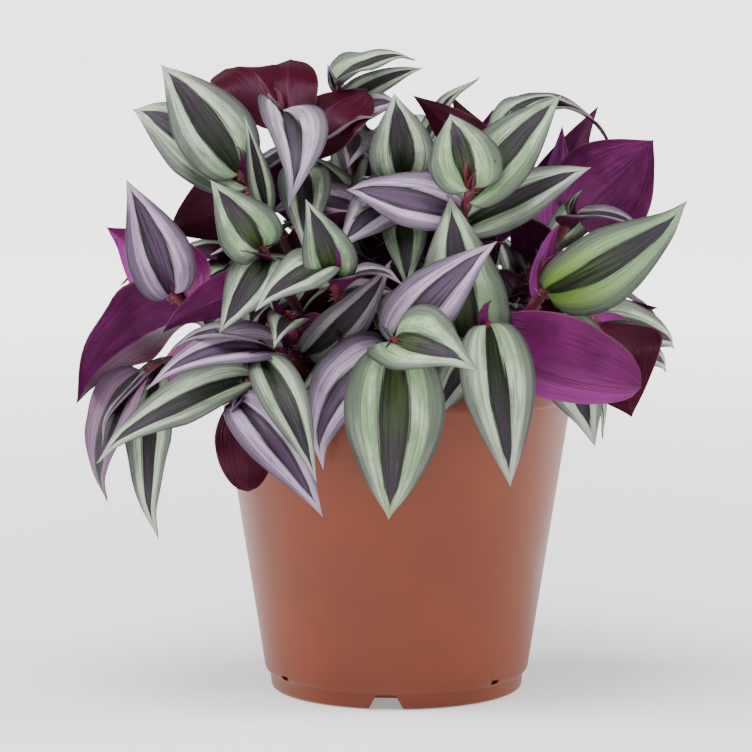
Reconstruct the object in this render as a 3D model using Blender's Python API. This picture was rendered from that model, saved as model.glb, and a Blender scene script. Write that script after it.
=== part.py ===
"""Potted Tradescantia zebrina: a 12 cm plastic nursery pot, its soil and leafy stems.

Tables are in millimetres from the pot's axis, and the model is in metres, +Z up. It is
built on the pot's axis and then moved sideways, so that the origin is on the ground under
the middle of its whole box. The pot's face with the drain notch looks along -Y.
"""

import math
import random

import bmesh
import bpy
from mathutils import Matrix, Vector
from mathutils.bvhtree import BVHTree

MM = 0.001

# --- pot -----------------------------------------------------------------------------
POT_HEIGHT = 106.0
RIM_RADIUS = 61.4
RIM_COLLAR = 6.5            # height of the thicker band round the top
COLLAR_STEP = 1.1           # how far the band stands out from the wall
WALL = 1.3
FOOT_RADIUS = 42.8
FOOT_HEIGHT = 6.0
FOOT_STEP = 1.9             # the body overhangs the foot by this much
FOOT_WIDTH = 2.6
FLOOR_UNDERSIDE = 3.0
FLOOR_THICKNESS = 1.4
POT_SIDES = 36
NOTCH_ANGLES = (-95.0, 85.0)            # degrees round +Z, front and back
NOTCH_HEIGHT = 5.0
NOTCH_TOP_WIDTH = 6.3
NOTCH_FOOT_WIDTH = 11.6
VENT_OFFSETS = (-52.0, 52.0)            # degrees from each notch
VENT_SIZE = (3.4, 1.5)                  # width and height
DRAIN_RADIUS = 4.0
DRAIN_RING = 25.0
DRAIN_COUNT = 5

# --- soil ----------------------------------------------------------------------------
GAP = 0.3                   # left between pieces that touch
SOIL_TOP = POT_HEIGHT - 12.0
SOIL_CROWN = 3.0            # the soil is this much higher in the middle
SOIL_SIDES = 28

# --- stems and leaves ----------------------------------------------------------------
STEM_RADIUS = 2.1
STEM_TIP_RADIUS = 1.5
STEM_SIDES = 5
STEM_STEPS = 4
ROOT_DEPTH = 13.0           # a stem stands this deep in its hole
ROOT_RING = 47.0            # no stem stands further from the middle
ROOT_SPACING = 8.0
ROOT_ROUNDS = 40            # passes that push the stems' feet apart
STRAIGHT_TOP = POT_HEIGHT - 7.0         # a stem is straight up to here
HOLE_CLEARANCE = 0.5
ARCH_OVER_RIM = POT_HEIGHT + 8.0    # the bend of a hanging stem is at least this high
HANGING_BELOW = POT_HEIGHT + 24.0   # a stem with its tip below this hangs over the rim
NODE_SPACING = 5.5          # between leaf bases, from the tip of the stem down
LEAF_THICKNESS = 0.7
WIDE_STATIONS = (0.0, 0.14, 0.33, 0.56, 0.79, 1.0)      # along a leaf, from base to tip
NARROW_STATIONS = (0.0, 0.17, 0.45, 0.75, 1.0)
BLUNT_STATIONS = (0.0, 0.2, 0.45, 0.7, 0.88, 0.97, 1.0)
OUTLINE_RISE = 0.45         # how a leaf's outline opens at its base
POINTED_FALL = 1.15         # how it closes at its tip
BLUNT_FALL = 0.5
WIDE_LEAF = 19.0            # leaves from this width up have the finer outline
FOLD_SPREAD = 1.1           # a folded leaf is this much wider than it shows
CUP_BASE = 38.0             # degrees each half leaf is folded up, at its base
CUP_TIP = 12.0
CUP_SPAN = 0.45             # the share of its length over which it opens out
CLEARANCE = 0.45            # a leaf keeps this far from other stems' leaves
BASE_POINTS = 6             # the points of a leaf's first station, sunk in its stem

# The way a leaf's upper face looks. A leaf that bends over backwards shows a blunt end.
FACES = {
    "front": (0.0, -1.0, 0.35),
    "front_left": (-0.7, -1.0, 0.5),
    "away": (0.0, 1.0, 0.45),
    "up": (0.0, -0.35, 1.0),
    "left": (-1.0, -0.5, 0.3),
    "slant": (0.0, -0.8, 0.8),
    "low": (0.0, -1.0, -0.3),
    "over": (0.0, 0.5, -0.86),
    "under": (0.0, 1.0, 0.45),
    "back_left": (-0.7, 0.7, 0.5),
    "back_right": (0.7, 0.7, 0.5),
}
BLUNT_FACES = ("over", "under")

# Leafy stems that hang or stand at the front. Each has the place of its tip and its
# leaves from the tip down: where the leaf ends, its width, the way its upper face looks
# and how far it arches. Heights are above the pot's rim.
FRONT_SHOOTS = [
    # the middle of the front, over the rim
    ((-1, -70, 16), [
        ((-3, -66, -40), 31, "front", 7),
        ((23, -96, 15), 26, "front", 3),
        ((31, -80, 50), 21, "front", 5),
        ((-26, -67, -23), 23, "front_left", 13),
        ((-33, -60, -1), 21, "front", 6),
        ((10, -58, 43), 11, "front", 3),
    ]),
    ((29, -64, 24), [
        ((36, -70, -28), 23, "front", 6),
        ((78, -62, 4), 29, "under", -4),
        ((11, -66, -7), 16, "front", 4),
        ((17, -60, 64), 28, "front", 5),
    ]),
    # the left of the front, hanging
    ((-52, -58, -3), [
        ((-24, -72, -37), 18, "front", 9),
        ((-48, -60, -31), 18, "under", -3),
        ((-98, -58, -20), 19, "slant", 5),
    ]),
    ((-44, -60, 11), [
        ((-26, -64, -24), 15, "front", 6),
        ((-72, -58, 16), 15, "up", 6),
        ((-80, -66, 4), 17, "slant", 8),
    ]),
    # standing at the front
    ((-22, -58, 42), [
        ((-45, -74, 30), 16, "slant", 4),
        ((-29, -66, 63), 17, "front", 3),
        ((-2, -68, 44), 14, "up", 4),
    ]),
    ((-45, -52, 48), [
        ((-59, -62, 69), 20, "front", 4),
        ((-57, -68, 21), 17, "front", 5),
        ((-59, -64, 47), 10, "up", 3),
        ((-77, -48, 20), 16, "away", 5),
    ]),
    ((48, -50, 34), [
        ((94, -50, 61), 25, "low", 5),
        ((51, -56, 56), 7, "away", 2),
    ]),
    ((24, -50, 67), [
        ((17, -46, 90), 23, "front", 4),
        ((53, -44, 96), 21, "front", 5),
        ((-17, -60, 66), 19, "slant", 6),
        ((63, -42, 73), 18, "front", 5),
    ]),
    # the top of the left side
    ((-52, -34, 71), [
        ((-77, -30, 106), 25, "front", 4),
        ((-88, -34, 92), 26, "front", 5),
        ((-76, -28, 50), 26, "away", 4),
        ((-49, -28, 88), 8, "front", 2),
    ]),
    ((-40, -16, 90), [
        ((-34, -46, 62), 24, "front", 8),
        ((-59, 14, 101), 25, "over", -11),
        ((-36, 16, 105), 19, "over", -11),
        ((-10, 2, 94), 24, "over", -8),
        ((-30, -42, 45), 17, "front", 4),
        ((-50, -22, 62), 16, "away", 3),
    ]),
    # the left side
    ((-75, -30, 31), [
        ((-88, -38, 68), 21, "front", 4),
        ((-95, -18, 52), 28, "away", 4),
        ((-107, -30, -4), 35, "back_left", 5),
        ((-62, -42, 19), 14, "up", 2),
    ]),
    ((-84, -24, 3), [
        ((-98, -30, -38), 20, "front_left", 8),
        ((-81, -36, -50), 20, "front_left", 5),
        ((-99, -36, -17), 11, "left", 4),
    ]),
    # the right side
    ((59, -24, 57), [
        ((84, -30, 81), 33, "back_right", 5),
        ((79, -34, 53), 14, "up", 4),
        ((55, -20, 84), 14, "away", 3),
        ((81, 6, 80), 13, "front", 3),
        ((67, 0, 91), 21, "away", 4),
    ]),
    ((66, -34, 21), [
        ((77, -44, -9), 34, "away", -4),
        ((95, -18, 11), 15, "front", 5),
        ((93, -22, 2), 13, "front", 6),
        ((64, -50, -16), 27, "front", 5),
        ((86, -26, 26), 18, "away", 3),
    ]),
    # between those, further in
    ((-36, -50, 26), [
        ((-29, -56, -7), 12, "away", 4),
        ((-39, -70, 18), 13, "slant", 4),
        ((-18, -58, 17), 14, "away", 4),
        ((-2, -46, 42), 16, "front", 4),
    ]),
    ((2, -30, 70), [
        ((-1, -34, 96), 21, "front", 4),
        ((-19, -54, 46), 18, "front", 5),
        ((3, -50, 33), 15, "front", 4),
    ]),
    ((34, -14, 82), [
        ((57, -12, 94), 15, "up", 5),
        ((73, -4, 78), 20, "up", 15),
        ((6, -2, 95), 17, "away", 4),
        ((20, 2, 93), 19, "away", 4),
        ((32, 8, 89), 18, "away", 4),
    ]),
    ((-21, 12, 98), [
        ((6, 14, 108), 19, "up", 3),
        ((9, 0, 104), 9, "front", 3),
        ((1, -6, 92), 15, "front", 4),
        ((-16, -6, 72), 17, "away", 3),
    ]),
]

# Rings of leafy stems round the back and in the middle: height above the rim and radius
# of the tips, the directions that the tips lie in, in degrees round +Z, and how far the
# outermost leaf rises or droops.
BACK_RINGS = [
    (10.0, 68.0, (42.0, 78.0, 114.0, 152.0), -42.0),
    (34.0, 54.0, (8.0, 52.0, 94.0, 138.0, 176.0), -14.0),
    (56.0, 40.0, (24.0, 84.0, 140.0), 6.0),
    (70.0, 20.0, (80.0,), 24.0),
    (48.0, 14.0, (-150.0,), 2.0),
]
BACK_TURNS = (0.0, 62.0, -64.0, 118.0, -122.0)     # leaves round a tip, from outward
BACK_LIFTS = (0.0, 14.0, -6.0, 30.0, 20.0)         # added to the ring's rise
BACK_LENGTHS = (36.0, 47.0)
BACK_WIDTHS = (19.0, 27.0)
BACK_SEED = 11

# What a leaf tries where it would cross another one: to end nearer or further back, to
# roll about its own midrib, and then to turn about its base or to be shorter.
DEPTHS = (0, -5, 5, -10, 10, -16, 16, 23)
ROLLS = (0, 14, -14, 28, -28)
PITCHES = (0, 7, -7, 14, -14, 21, -21, 28, -28, 36, -36, 45, -45)
YAWS = (0, 8, -8, 16, -16, 26, -26)
LENGTHS = (1.0, 0.88, 0.76)
DEPTH_COST = 0.8            # for each millimetre
ROLL_COST = 0.4             # for each degree
PITCH_COST = 1.0
YAW_COST = 1.7
SHORTENING_COST = 160.0     # for the whole length
# How much worse a place may be, to keep clear of its own stem's leaves.
FRONT_PATIENCE = 16.0
BACK_PATIENCE = 400.0

COLOURS = {
    "pot": ((0.29, 0.10, 0.055, 1.0), 0.42),
    "soil": ((0.022, 0.014, 0.009, 1.0), 0.95),
    "leaf": ((0.33, 0.37, 0.30, 1.0), 0.45),
}


# --- small helpers -------------------------------------------------------------------
def clear_scene():
    for obj in list(bpy.data.objects):
        bpy.data.objects.remove(obj, do_unlink=True)


def material(name):
    colour, roughness = COLOURS[name]
    made = bpy.data.materials.new(name)
    made.use_nodes = True
    shader = made.node_tree.nodes["Principled BSDF"]
    shader.inputs["Base Color"].default_value = colour
    shader.inputs["Roughness"].default_value = roughness
    shader.inputs["Metallic"].default_value = 0.0
    return made


def mesh_object(name, points, faces, surface):
    """An object made from points in millimetres."""
    mesh = bpy.data.meshes.new(name)
    mesh.from_pydata([Vector(point) * MM for point in points], [], faces)
    mesh.update()
    mesh.materials.append(surface)
    obj = bpy.data.objects.new(name, mesh)
    bpy.context.scene.collection.objects.link(obj)
    return obj


def combine(obj, tools, operation, solver):
    """Join the tools to the object, or cut them from it, and remove them."""
    group = bpy.data.collections.new(obj.name + "_tools")
    bpy.context.scene.collection.children.link(group)
    for tool in tools:
        tool.hide_render = True
        tool.display_type = "WIRE"
        group.objects.link(tool)
    boolean = obj.modifiers.new("combine", "BOOLEAN")
    boolean.operation = operation
    boolean.operand_type = "COLLECTION"
    boolean.collection = group
    boolean.solver = solver
    depsgraph = bpy.context.evaluated_depsgraph_get()
    made = bpy.data.meshes.new_from_object(obj.evaluated_get(depsgraph))
    obj.modifiers.remove(boolean)
    obj.data = made
    for tool in list(group.objects):
        bpy.data.objects.remove(tool, do_unlink=True)
    bpy.data.collections.remove(group)


def keep_main_body(mesh):
    """Drop the loose scraps and fill the sealed hollows that fusing leaves behind."""
    shape = bmesh.new()
    shape.from_mesh(mesh)
    waiting = set(shape.verts)
    bodies = []
    while waiting:
        body = [waiting.pop()]
        for vert in body:
            for edge in vert.link_edges:
                other = edge.other_vert(vert)
                if other in waiting:
                    waiting.remove(other)
                    body.append(other)
        bodies.append(body)
    bodies.sort(key=len)
    for body in bodies[:-1]:
        bmesh.ops.delete(shape, geom=body, context="VERTS")
    shape.to_mesh(mesh)
    shape.free()


def round_shading(obj, degrees=35.0):
    obj.data.shade_smooth()
    obj.data.set_sharp_from_angle(angle=math.radians(degrees))


def ring_surface(profile, sides):
    """Points and faces of the surface that (radius, height) points sweep round Z."""
    points = []
    faces = []
    for row, (radius, height) in enumerate(profile):
        for step in range(sides):
            angle = 2 * math.pi * step / sides
            points.append(Vector((radius * math.cos(angle), radius * math.sin(angle), height)))
            if row:
                low = (row - 1) * sides
                after = (step + 1) % sides
                faces.append((low + step, low + after, low + sides + after, low + sides + step))
    return points, faces


def turned(name, profile, sides, surface):
    """A solid turned round Z from (radius, height) points that start and end on the axis."""
    points, faces = ring_surface(profile[1:-1], sides)
    foot = len(points)
    top = foot - sides
    points += [Vector((0.0, 0.0, profile[0][1])), Vector((0.0, 0.0, profile[-1][1]))]
    for step in range(sides):
        after = (step + 1) % sides
        faces.append((foot, after, step))
        faces.append((top + step, top + after, foot + 1))
    return mesh_object(name, points, faces, surface)


# --- pot -----------------------------------------------------------------------------
def wall_radius(height):
    """Outside radius of the pot's body at a height."""
    low = FOOT_RADIUS + FOOT_STEP
    high = RIM_RADIUS - COLLAR_STEP
    return low + (high - low) * (height - FOOT_HEIGHT) / (POT_HEIGHT - FOOT_HEIGHT)


def pot_profile():
    floor = FLOOR_UNDERSIDE + FLOOR_THICKNESS
    collar = POT_HEIGHT - RIM_COLLAR
    foot_inside = FOOT_RADIUS - FOOT_WIDTH
    return [
        (0.0, FLOOR_UNDERSIDE),
        (foot_inside, FLOOR_UNDERSIDE),
        (foot_inside, 0.0),
        (FOOT_RADIUS - 0.8, 0.0),
        (FOOT_RADIUS, 0.8),
        (FOOT_RADIUS + 0.3, FOOT_HEIGHT - 1.0),
        (FOOT_RADIUS + FOOT_STEP - 0.5, FOOT_HEIGHT),
        (wall_radius(FOOT_HEIGHT + 1.0), FOOT_HEIGHT + 1.0),
        (wall_radius(collar - 0.6), collar - 0.6),
        (RIM_RADIUS - 0.4, collar + 0.4),
        (RIM_RADIUS, POT_HEIGHT - 0.8),
        (RIM_RADIUS - 0.6, POT_HEIGHT),
        (RIM_RADIUS - 1.3, POT_HEIGHT),
        (RIM_RADIUS - 1.8, POT_HEIGHT - 0.8),
        (wall_radius(collar) - WALL, collar),
        (wall_radius(floor + 3.0) - WALL, floor + 3.0),
        (wall_radius(floor) - WALL - 2.2, floor),
        (0.0, floor),
    ]


def outward_slot(name, angle, rows, depth, surface):
    """A cutter that looks outward: rows of (half width, height), between two radii."""
    turn = Matrix.Rotation(math.radians(angle), 4, "Z")
    points = []
    for radius in depth:
        for half_width, height in rows:
            points.append(turn @ Vector((radius, -half_width, height)))
            points.append(turn @ Vector((radius, half_width, height)))
    faces = [(0, 2, 3, 1), (4, 5, 7, 6), (0, 1, 5, 4), (2, 6, 7, 3), (0, 4, 6, 2), (1, 3, 7, 5)]
    return mesh_object(name, points, faces, surface)


def build_pot():
    surface = material("pot")
    pot = turned("pot", pot_profile(), POT_SIDES, surface)
    cutters = []
    notch_slope = (NOTCH_FOOT_WIDTH - NOTCH_TOP_WIDTH) / 2 / NOTCH_HEIGHT
    notch_rows = ((NOTCH_FOOT_WIDTH / 2 + notch_slope, -1.0), (NOTCH_TOP_WIDTH / 2, NOTCH_HEIGHT))
    notch_depth = (FOOT_RADIUS - FOOT_WIDTH - 2.0, FOOT_RADIUS + 1.2)
    vent_rows = ((VENT_SIZE[0] / 2, FOOT_HEIGHT), (VENT_SIZE[0] / 2, FOOT_HEIGHT + VENT_SIZE[1]))
    vent_depth = (FOOT_RADIUS - 2.5, FOOT_RADIUS + 4.0)
    for angle in NOTCH_ANGLES:
        cutters.append(outward_slot("notch", angle, notch_rows, notch_depth, surface))
        for offset in VENT_OFFSETS:
            cutters.append(outward_slot("vent", angle + offset, vent_rows, vent_depth, surface))
    for index in range(DRAIN_COUNT):
        angle = 2 * math.pi * index / DRAIN_COUNT
        centre = (DRAIN_RING * math.cos(angle), DRAIN_RING * math.sin(angle))
        cutters.append(peg("drain", centre, DRAIN_RADIUS, 1.0, 8.0, 8, surface))
    combine(pot, cutters, "DIFFERENCE", "EXACT")
    round_shading(pot)


def peg(name, centre, radius, low, high, sides, surface):
    """An upright cylinder between two heights."""
    obj = turned(name, [(0, low), (radius, low), (radius, high), (0, high)], sides, surface)
    obj.data.transform(Matrix.Translation(Vector((centre[0], centre[1], 0.0)) * MM))
    return obj


# --- soil ----------------------------------------------------------------------------
def soil_profile():
    floor = FLOOR_UNDERSIDE + FLOOR_THICKNESS
    inner = WALL + GAP + 0.15
    edge = wall_radius(SOIL_TOP) - inner
    return [
        (0.0, floor + GAP),
        (wall_radius(floor) - inner - 2.4, floor + GAP),
        (wall_radius(floor + 3.4) - inner, floor + 3.4),
        (edge, SOIL_TOP),
        (edge * 0.62, SOIL_TOP + SOIL_CROWN * 0.6),
        (edge * 0.3, SOIL_TOP + SOIL_CROWN * 0.9),
        (0.0, SOIL_TOP + SOIL_CROWN),
    ]


def build_soil(shoots):
    surface = material("soil")
    soil = turned("soil", soil_profile(), SOIL_SIDES, surface)
    bottom = SOIL_TOP - ROOT_DEPTH - GAP
    top = SOIL_TOP + SOIL_CROWN + 5.0
    radius = (STEM_RADIUS + HOLE_CLEARANCE) / math.cos(math.pi / STEM_SIDES)
    holes = []
    for shoot in shoots:
        holes.append(peg("hole", shoot["root"], radius, bottom, top, STEM_SIDES, surface))
    combine(soil, holes, "DIFFERENCE", "EXACT")
    round_shading(soil)


# --- stems ---------------------------------------------------------------------------
def root_places(tips):
    """Where the stems stand in the soil: high stems near the middle, low ones further out.

    They are then pushed apart until each has room for a hole of its own.
    """
    roots = []
    for tip in tips:
        flat = Vector((tip.x, tip.y, 0.0))
        radius = max(6.0, ROOT_RING - 0.42 * (tip.z - POT_HEIGHT))
        roots.append(flat.normalized() * min(radius, flat.length * 0.8))
    for _ in range(ROOT_ROUNDS):
        for first in range(len(roots)):
            for second in range(first + 1, len(roots)):
                apart = roots[second] - roots[first]
                short = ROOT_SPACING - apart.length
                if short > 0.0:
                    push = apart.normalized() * (short / 2)
                    roots[first] -= push
                    roots[second] += push
        for root in roots:
            if root.length > ROOT_RING:
                root *= ROOT_RING / root.length
    return roots


def stem_path(root, tip):
    """The middle line of a stem: straight in the soil, then one smooth bend to its tip."""
    start = Vector((root.x, root.y, STRAIGHT_TOP))
    bend = start.lerp(tip, 0.5)
    bend.z = max(tip.z, ARCH_OVER_RIM) + 8.0 if tip.z < HANGING_BELOW else tip.z * 0.86
    line = [Vector((root.x, root.y, SOIL_TOP - ROOT_DEPTH))]
    for step in range(STEM_STEPS + 1):
        t = step / STEM_STEPS
        line.append(start * (1 - t) ** 2 + bend * (2 * t * (1 - t)) + tip * t ** 2)
    return line


def point_from_tip(line, distance):
    """The point this far down a stem from its tip."""
    for above, below in zip(reversed(line), list(reversed(line))[1:]):
        length = (below - above).length
        if distance <= length:
            return above.lerp(below, distance / length)
        distance -= length
    return line[0].copy()


def tube(line, radius, end_radius, sides):
    """Points and triangles of a round bar along a line, closed at both ends."""
    points = []
    side = Vector((1.0, 0.0, 0.0))
    for index, centre in enumerate(line):
        before = line[max(index - 1, 0)]
        after = line[min(index + 1, len(line) - 1)]
        along = (after - before).normalized()
        side = (side - along * side.dot(along)).normalized()
        other = along.cross(side)
        share = index / (len(line) - 1)
        size = radius + (end_radius - radius) * share
        for step in range(sides):
            angle = 2 * math.pi * step / sides
            points.append(centre + (side * math.cos(angle) + other * math.sin(angle)) * size)
    faces = []
    for ring in range(len(line) - 1):
        for step in range(sides):
            after = (step + 1) % sides
            low = ring * sides
            high = low + sides
            faces.append((low + step, low + after, high + after))
            faces.append((low + step, high + after, high + step))
    top = (len(line) - 1) * sides
    for step in range(1, sides - 1):
        faces.append((0, step + 1, step))
        faces.append((top, top + step, top + step + 1))
    return points, faces


# --- leaves --------------------------------------------------------------------------
def half_width(u, fall):
    """The blade's outline: its half width at u from base 0 to tip 1, 1 at the widest."""
    widest = OUTLINE_RISE / (OUTLINE_RISE + fall)
    peak = widest ** OUTLINE_RISE * (1.0 - widest) ** fall
    return (u + 0.0005) ** OUTLINE_RISE * (1.0 - u) ** fall / peak


def blade(leaf, thickness, margin):
    """Points and triangles of one leaf, folded along its midrib and arched.

    The upper and the lower side are split into triangles alike.
    """
    reach = leaf["tip"] - leaf["base"]
    along = reach.normalized()
    normal = (leaf["face"] - along * leaf["face"].dot(along)).normalized()
    points = []
    for u in leaf["stations"]:
        middle = leaf["base"] + reach * u + normal * (leaf["arch"] * 4 * u * (1 - u))
        tangent = (reach + normal * (leaf["arch"] * 4 * (1 - 2 * u))).normalized()
        up = (normal - tangent * normal.dot(tangent)).normalized()
        side = up.cross(tangent)
        if u == 1.0:
            end = middle + tangent * margin
            points += [end + up * thickness / 2, end - up * thickness / 2]
            break
        cup = math.radians(CUP_BASE + (CUP_TIP - CUP_BASE) * min(1.0, u / CUP_SPAN))
        half = leaf["width"] / 2 * half_width(u, leaf["fall"]) + margin
        row = []
        for way in (-1, 0, 1):
            turn = cup * abs(way)
            spot = middle + side * (way * half * math.cos(turn)) + up * (half * math.sin(turn))
            out = up * math.cos(turn) - side * (way * math.sin(turn))
            row.append((spot, out * (thickness / 2)))
        points += [spot + out for spot, out in row]
        points += [spot - out for spot, out in row]
    faces = [(0, 1, 4), (0, 4, 3), (1, 2, 5), (1, 5, 4)]
    rows = len(leaf["stations"]) - 1
    for step in range(rows - 1):
        low = step * 6
        high = low + 6
        for left in (0, 1):
            a, b, c, d = low + left, low + left + 1, high + left + 1, high + left
            faces += [(a, c, b), (a, d, c)]
            faces += [(a + 3, b + 3, c + 3), (a + 3, c + 3, d + 3)]
        faces += [(low, low + 3, high + 3), (low, high + 3, high)]
        faces += [(low + 2, high + 5, low + 5), (low + 2, high + 2, high + 5)]
    low = (rows - 1) * 6
    top = low + 6
    under = low + 7
    faces += [(low, top, low + 1), (low + 1, top, low + 2)]
    faces += [(low + 3, low + 4, under), (low + 4, low + 5, under)]
    faces += [(low, low + 3, under), (low, under, top)]
    faces += [(low + 2, under, low + 5), (low + 2, top, under)]
    return points, faces


def tried_places(leaf):
    """The leaf as drawn, and then moved a little more each time, with what each move costs."""
    reach = leaf["tip"] - leaf["base"]
    along = reach.normalized()
    normal = (leaf["face"] - along * leaf["face"].dot(along)).normalized()
    side = along.cross(normal)
    tries = []
    for depth in DEPTHS:
        for roll in ROLLS:
            tries.append((DEPTH_COST * abs(depth) + ROLL_COST * abs(roll), depth, roll, 0, 0, 1.0))
    for pitch in PITCHES:
        for yaw in YAWS:
            for length in LENGTHS:
                cost = PITCH_COST * abs(pitch) + YAW_COST * abs(yaw)
                cost += SHORTENING_COST * (1 - length)
                tries.append((cost, 0, 0, pitch, yaw, length))
    for cost, depth, roll, pitch, yaw, length in sorted(tries, key=lambda item: item[0]):
        turn = (Matrix.Rotation(math.radians(pitch), 3, side)
                @ Matrix.Rotation(math.radians(yaw), 3, normal))
        moved = dict(leaf)
        moved["tip"] = leaf["base"] + (turn @ reach) * length + Vector((0.0, depth, 0.0))
        moved["face"] = turn @ Matrix.Rotation(math.radians(roll), 3, along) @ leaf["face"]
        yield cost, moved


def clear_place(leaf, node, placed):
    """The first tried place that is clear of other nodes, and of its own where that is near."""
    fallback = None
    fallback_cost = 0.0
    for cost, moved in tried_places(leaf):
        if fallback is not None and cost > fallback_cost + leaf["patience"]:
            break
        fat = blade(moved, LEAF_THICKNESS + 2 * CLEARANCE, CLEARANCE)
        if not placed.hit(node, *fat, keep_own_clear=True):
            return moved
        if fallback is None and not placed.hit(node, *fat):
            fallback = moved
            fallback_cost = cost
    return fallback


class Obstacles:
    """What has its place already, by the node that it belongs to."""

    def __init__(self):
        self.items = []

    def add(self, node, points, faces):
        low = [min(point[axis] for point in points) for axis in range(3)]
        high = [max(point[axis] for point in points) for axis in range(3)]
        self.items.append((node, low, high, BVHTree.FromPolygons(points, faces)))

    def hit(self, node, points, faces, keep_own_clear=False):
        """True where the shape meets another node, or its own past the leaf's base."""
        low = [min(point[axis] for point in points) for axis in range(3)]
        high = [max(point[axis] for point in points) for axis in range(3)]
        whole = BVHTree.FromPolygons(points, faces)
        outer = BVHTree.FromPolygons(points, [face for face in faces if min(face) >= BASE_POINTS])
        for other, other_low, other_high, other_tree in self.items:
            if any(low[a] > other_high[a] or high[a] < other_low[a] for a in range(3)):
                continue
            if other != node and whole.overlap(other_tree):
                return True
            if other == node and keep_own_clear and outer.overlap(other_tree):
                return True
        return False


def above_rim(place):
    return Vector(place) + Vector((0.0, 0.0, POT_HEIGHT))


def front_shoots():
    shoots = []
    for tip, rows in FRONT_SHOOTS:
        leaves = []
        for end, width, face, arch in rows:
            blunt = face in BLUNT_FACES
            stations = WIDE_STATIONS if width >= WIDE_LEAF else NARROW_STATIONS
            leaves.append({
                "tip": above_rim(end),
                "width": width * FOLD_SPREAD,
                "arch": arch,
                "face": Vector(FACES[face]),
                "stations": BLUNT_STATIONS if blunt else stations,
                "fall": BLUNT_FALL if blunt else POINTED_FALL,
                "patience": FRONT_PATIENCE,
            })
        shoots.append({"tip": above_rim(tip), "leaves": leaves})
    return shoots


def back_shoots():
    """Stems in rings round the back, each with leaves turned round its tip."""
    draw = random.Random(BACK_SEED)
    shoots = []
    for height, radius, directions, rise in BACK_RINGS:
        for direction in directions:
            angle = math.radians(direction + draw.uniform(-4, 4))
            out = Vector((math.cos(angle), math.sin(angle), 0.0))
            tip = above_rim(out * (radius + draw.uniform(-4, 4)))
            tip.z += height + draw.uniform(-5, 5)
            leaves = []
            for turn, lift in zip(BACK_TURNS, BACK_LIFTS):
                heading = angle + math.radians(turn + draw.uniform(-10, 10))
                slope = math.radians(rise + lift + draw.uniform(-8, 8))
                flat = Vector((math.cos(heading), math.sin(heading), 0.0))
                way = flat * math.cos(slope) + Vector((0, 0, math.sin(slope)))
                length = draw.uniform(*BACK_LENGTHS)
                leaves.append({
                    "tip": tip + way * length,
                    "width": draw.uniform(*BACK_WIDTHS),
                    "arch": length * 0.12,
                    "face": Vector((0, 0, 1.0)) + flat * 0.4,
                    "stations": NARROW_STATIONS,
                    "fall": POINTED_FALL,
                    "patience": BACK_PATIENCE,
                })
            shoots.append({"tip": tip, "leaves": leaves})
    return shoots


def place_shoots():
    """Every stem and then every leaf, each bent clear of what already has its place."""
    shoots = front_shoots() + back_shoots()
    placed = Obstacles()
    placed.add("pot", *ring_surface(pot_profile()[1:-1], POT_SIDES))
    roots = root_places([shoot["tip"] for shoot in shoots])
    for number, shoot in enumerate(shoots, start=1):
        shoot["name"] = f"leafy_stem_{number:02d}"
        shoot["root"] = roots[number - 1]
        shoot["line"] = stem_path(shoot["root"], shoot["tip"])
        shoot["stem"] = tube(shoot["line"], STEM_RADIUS, STEM_TIP_RADIUS, STEM_SIDES)
        if placed.hit(shoot["name"], *tube(shoot["line"], STEM_RADIUS + CLEARANCE,
                                           STEM_TIP_RADIUS + CLEARANCE, STEM_SIDES)):
            print("stem crosses:", shoot["name"], tuple(shoot["tip"]))
        placed.add(shoot["name"], *shoot["stem"])
    placed.add("soil", *ring_surface(soil_profile()[-4:-1], SOIL_SIDES))
    for shoot in shoots:
        shoot["blades"] = []
        for index, leaf in enumerate(shoot["leaves"]):
            leaf["base"] = point_from_tip(shoot["line"], 1.0 + index * NODE_SPACING)
            moved = clear_place(leaf, shoot["name"], placed)
            if moved is None:
                print("no room:", shoot["name"], index, tuple(leaf["tip"]))
                continue
            shoot["blades"].append(blade(moved, LEAF_THICKNESS, 0.0))
            placed.add(shoot["name"], *shoot["blades"][-1])
    return shoots


def build_shoot(shoot, surface):
    """One stem with its leaves, fused into one solid."""
    stem = mesh_object(shoot["name"], *shoot["stem"], surface)
    leaves = [mesh_object("leaf", *made, surface) for made in shoot["blades"]]
    combine(stem, leaves, "UNION", "EXACT")
    keep_main_body(stem.data)
    round_shading(stem, 30.0)


def centre_on_origin():
    """Move everything sideways, until the middle of the whole box is over the origin."""
    models = [obj for obj in bpy.data.objects if obj.type == "MESH"]
    points = [vertex.co for obj in models for vertex in obj.data.vertices]
    middle = [(min(point[axis] for point in points) + max(point[axis] for point in points)) / 2
              for axis in (0, 1)]
    for obj in models:
        obj.data.transform(Matrix.Translation((-middle[0], -middle[1], 0.0)))


def main():
    clear_scene()
    shoots = place_shoots()
    build_pot()
    build_soil(shoots)
    surface = material("leaf")
    for shoot in shoots:
        build_shoot(shoot, surface)
    centre_on_origin()


main()
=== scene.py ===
"""Looks of the potted Tradescantia zebrina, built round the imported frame.

The tables are in millimetres from the pot's axis, and so is all geometry up to Piece.build,
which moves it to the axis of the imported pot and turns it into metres. The stems and the
places of their leaves follow the same rules as the solids, so that each fine leaf lies
where its solid does.
"""

import json
import random
from math import cos, exp, hypot, pi, radians, sin, sqrt

import bpy
from mathutils import Matrix, Vector, noise
from mathutils.bvhtree import BVHTree


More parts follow.
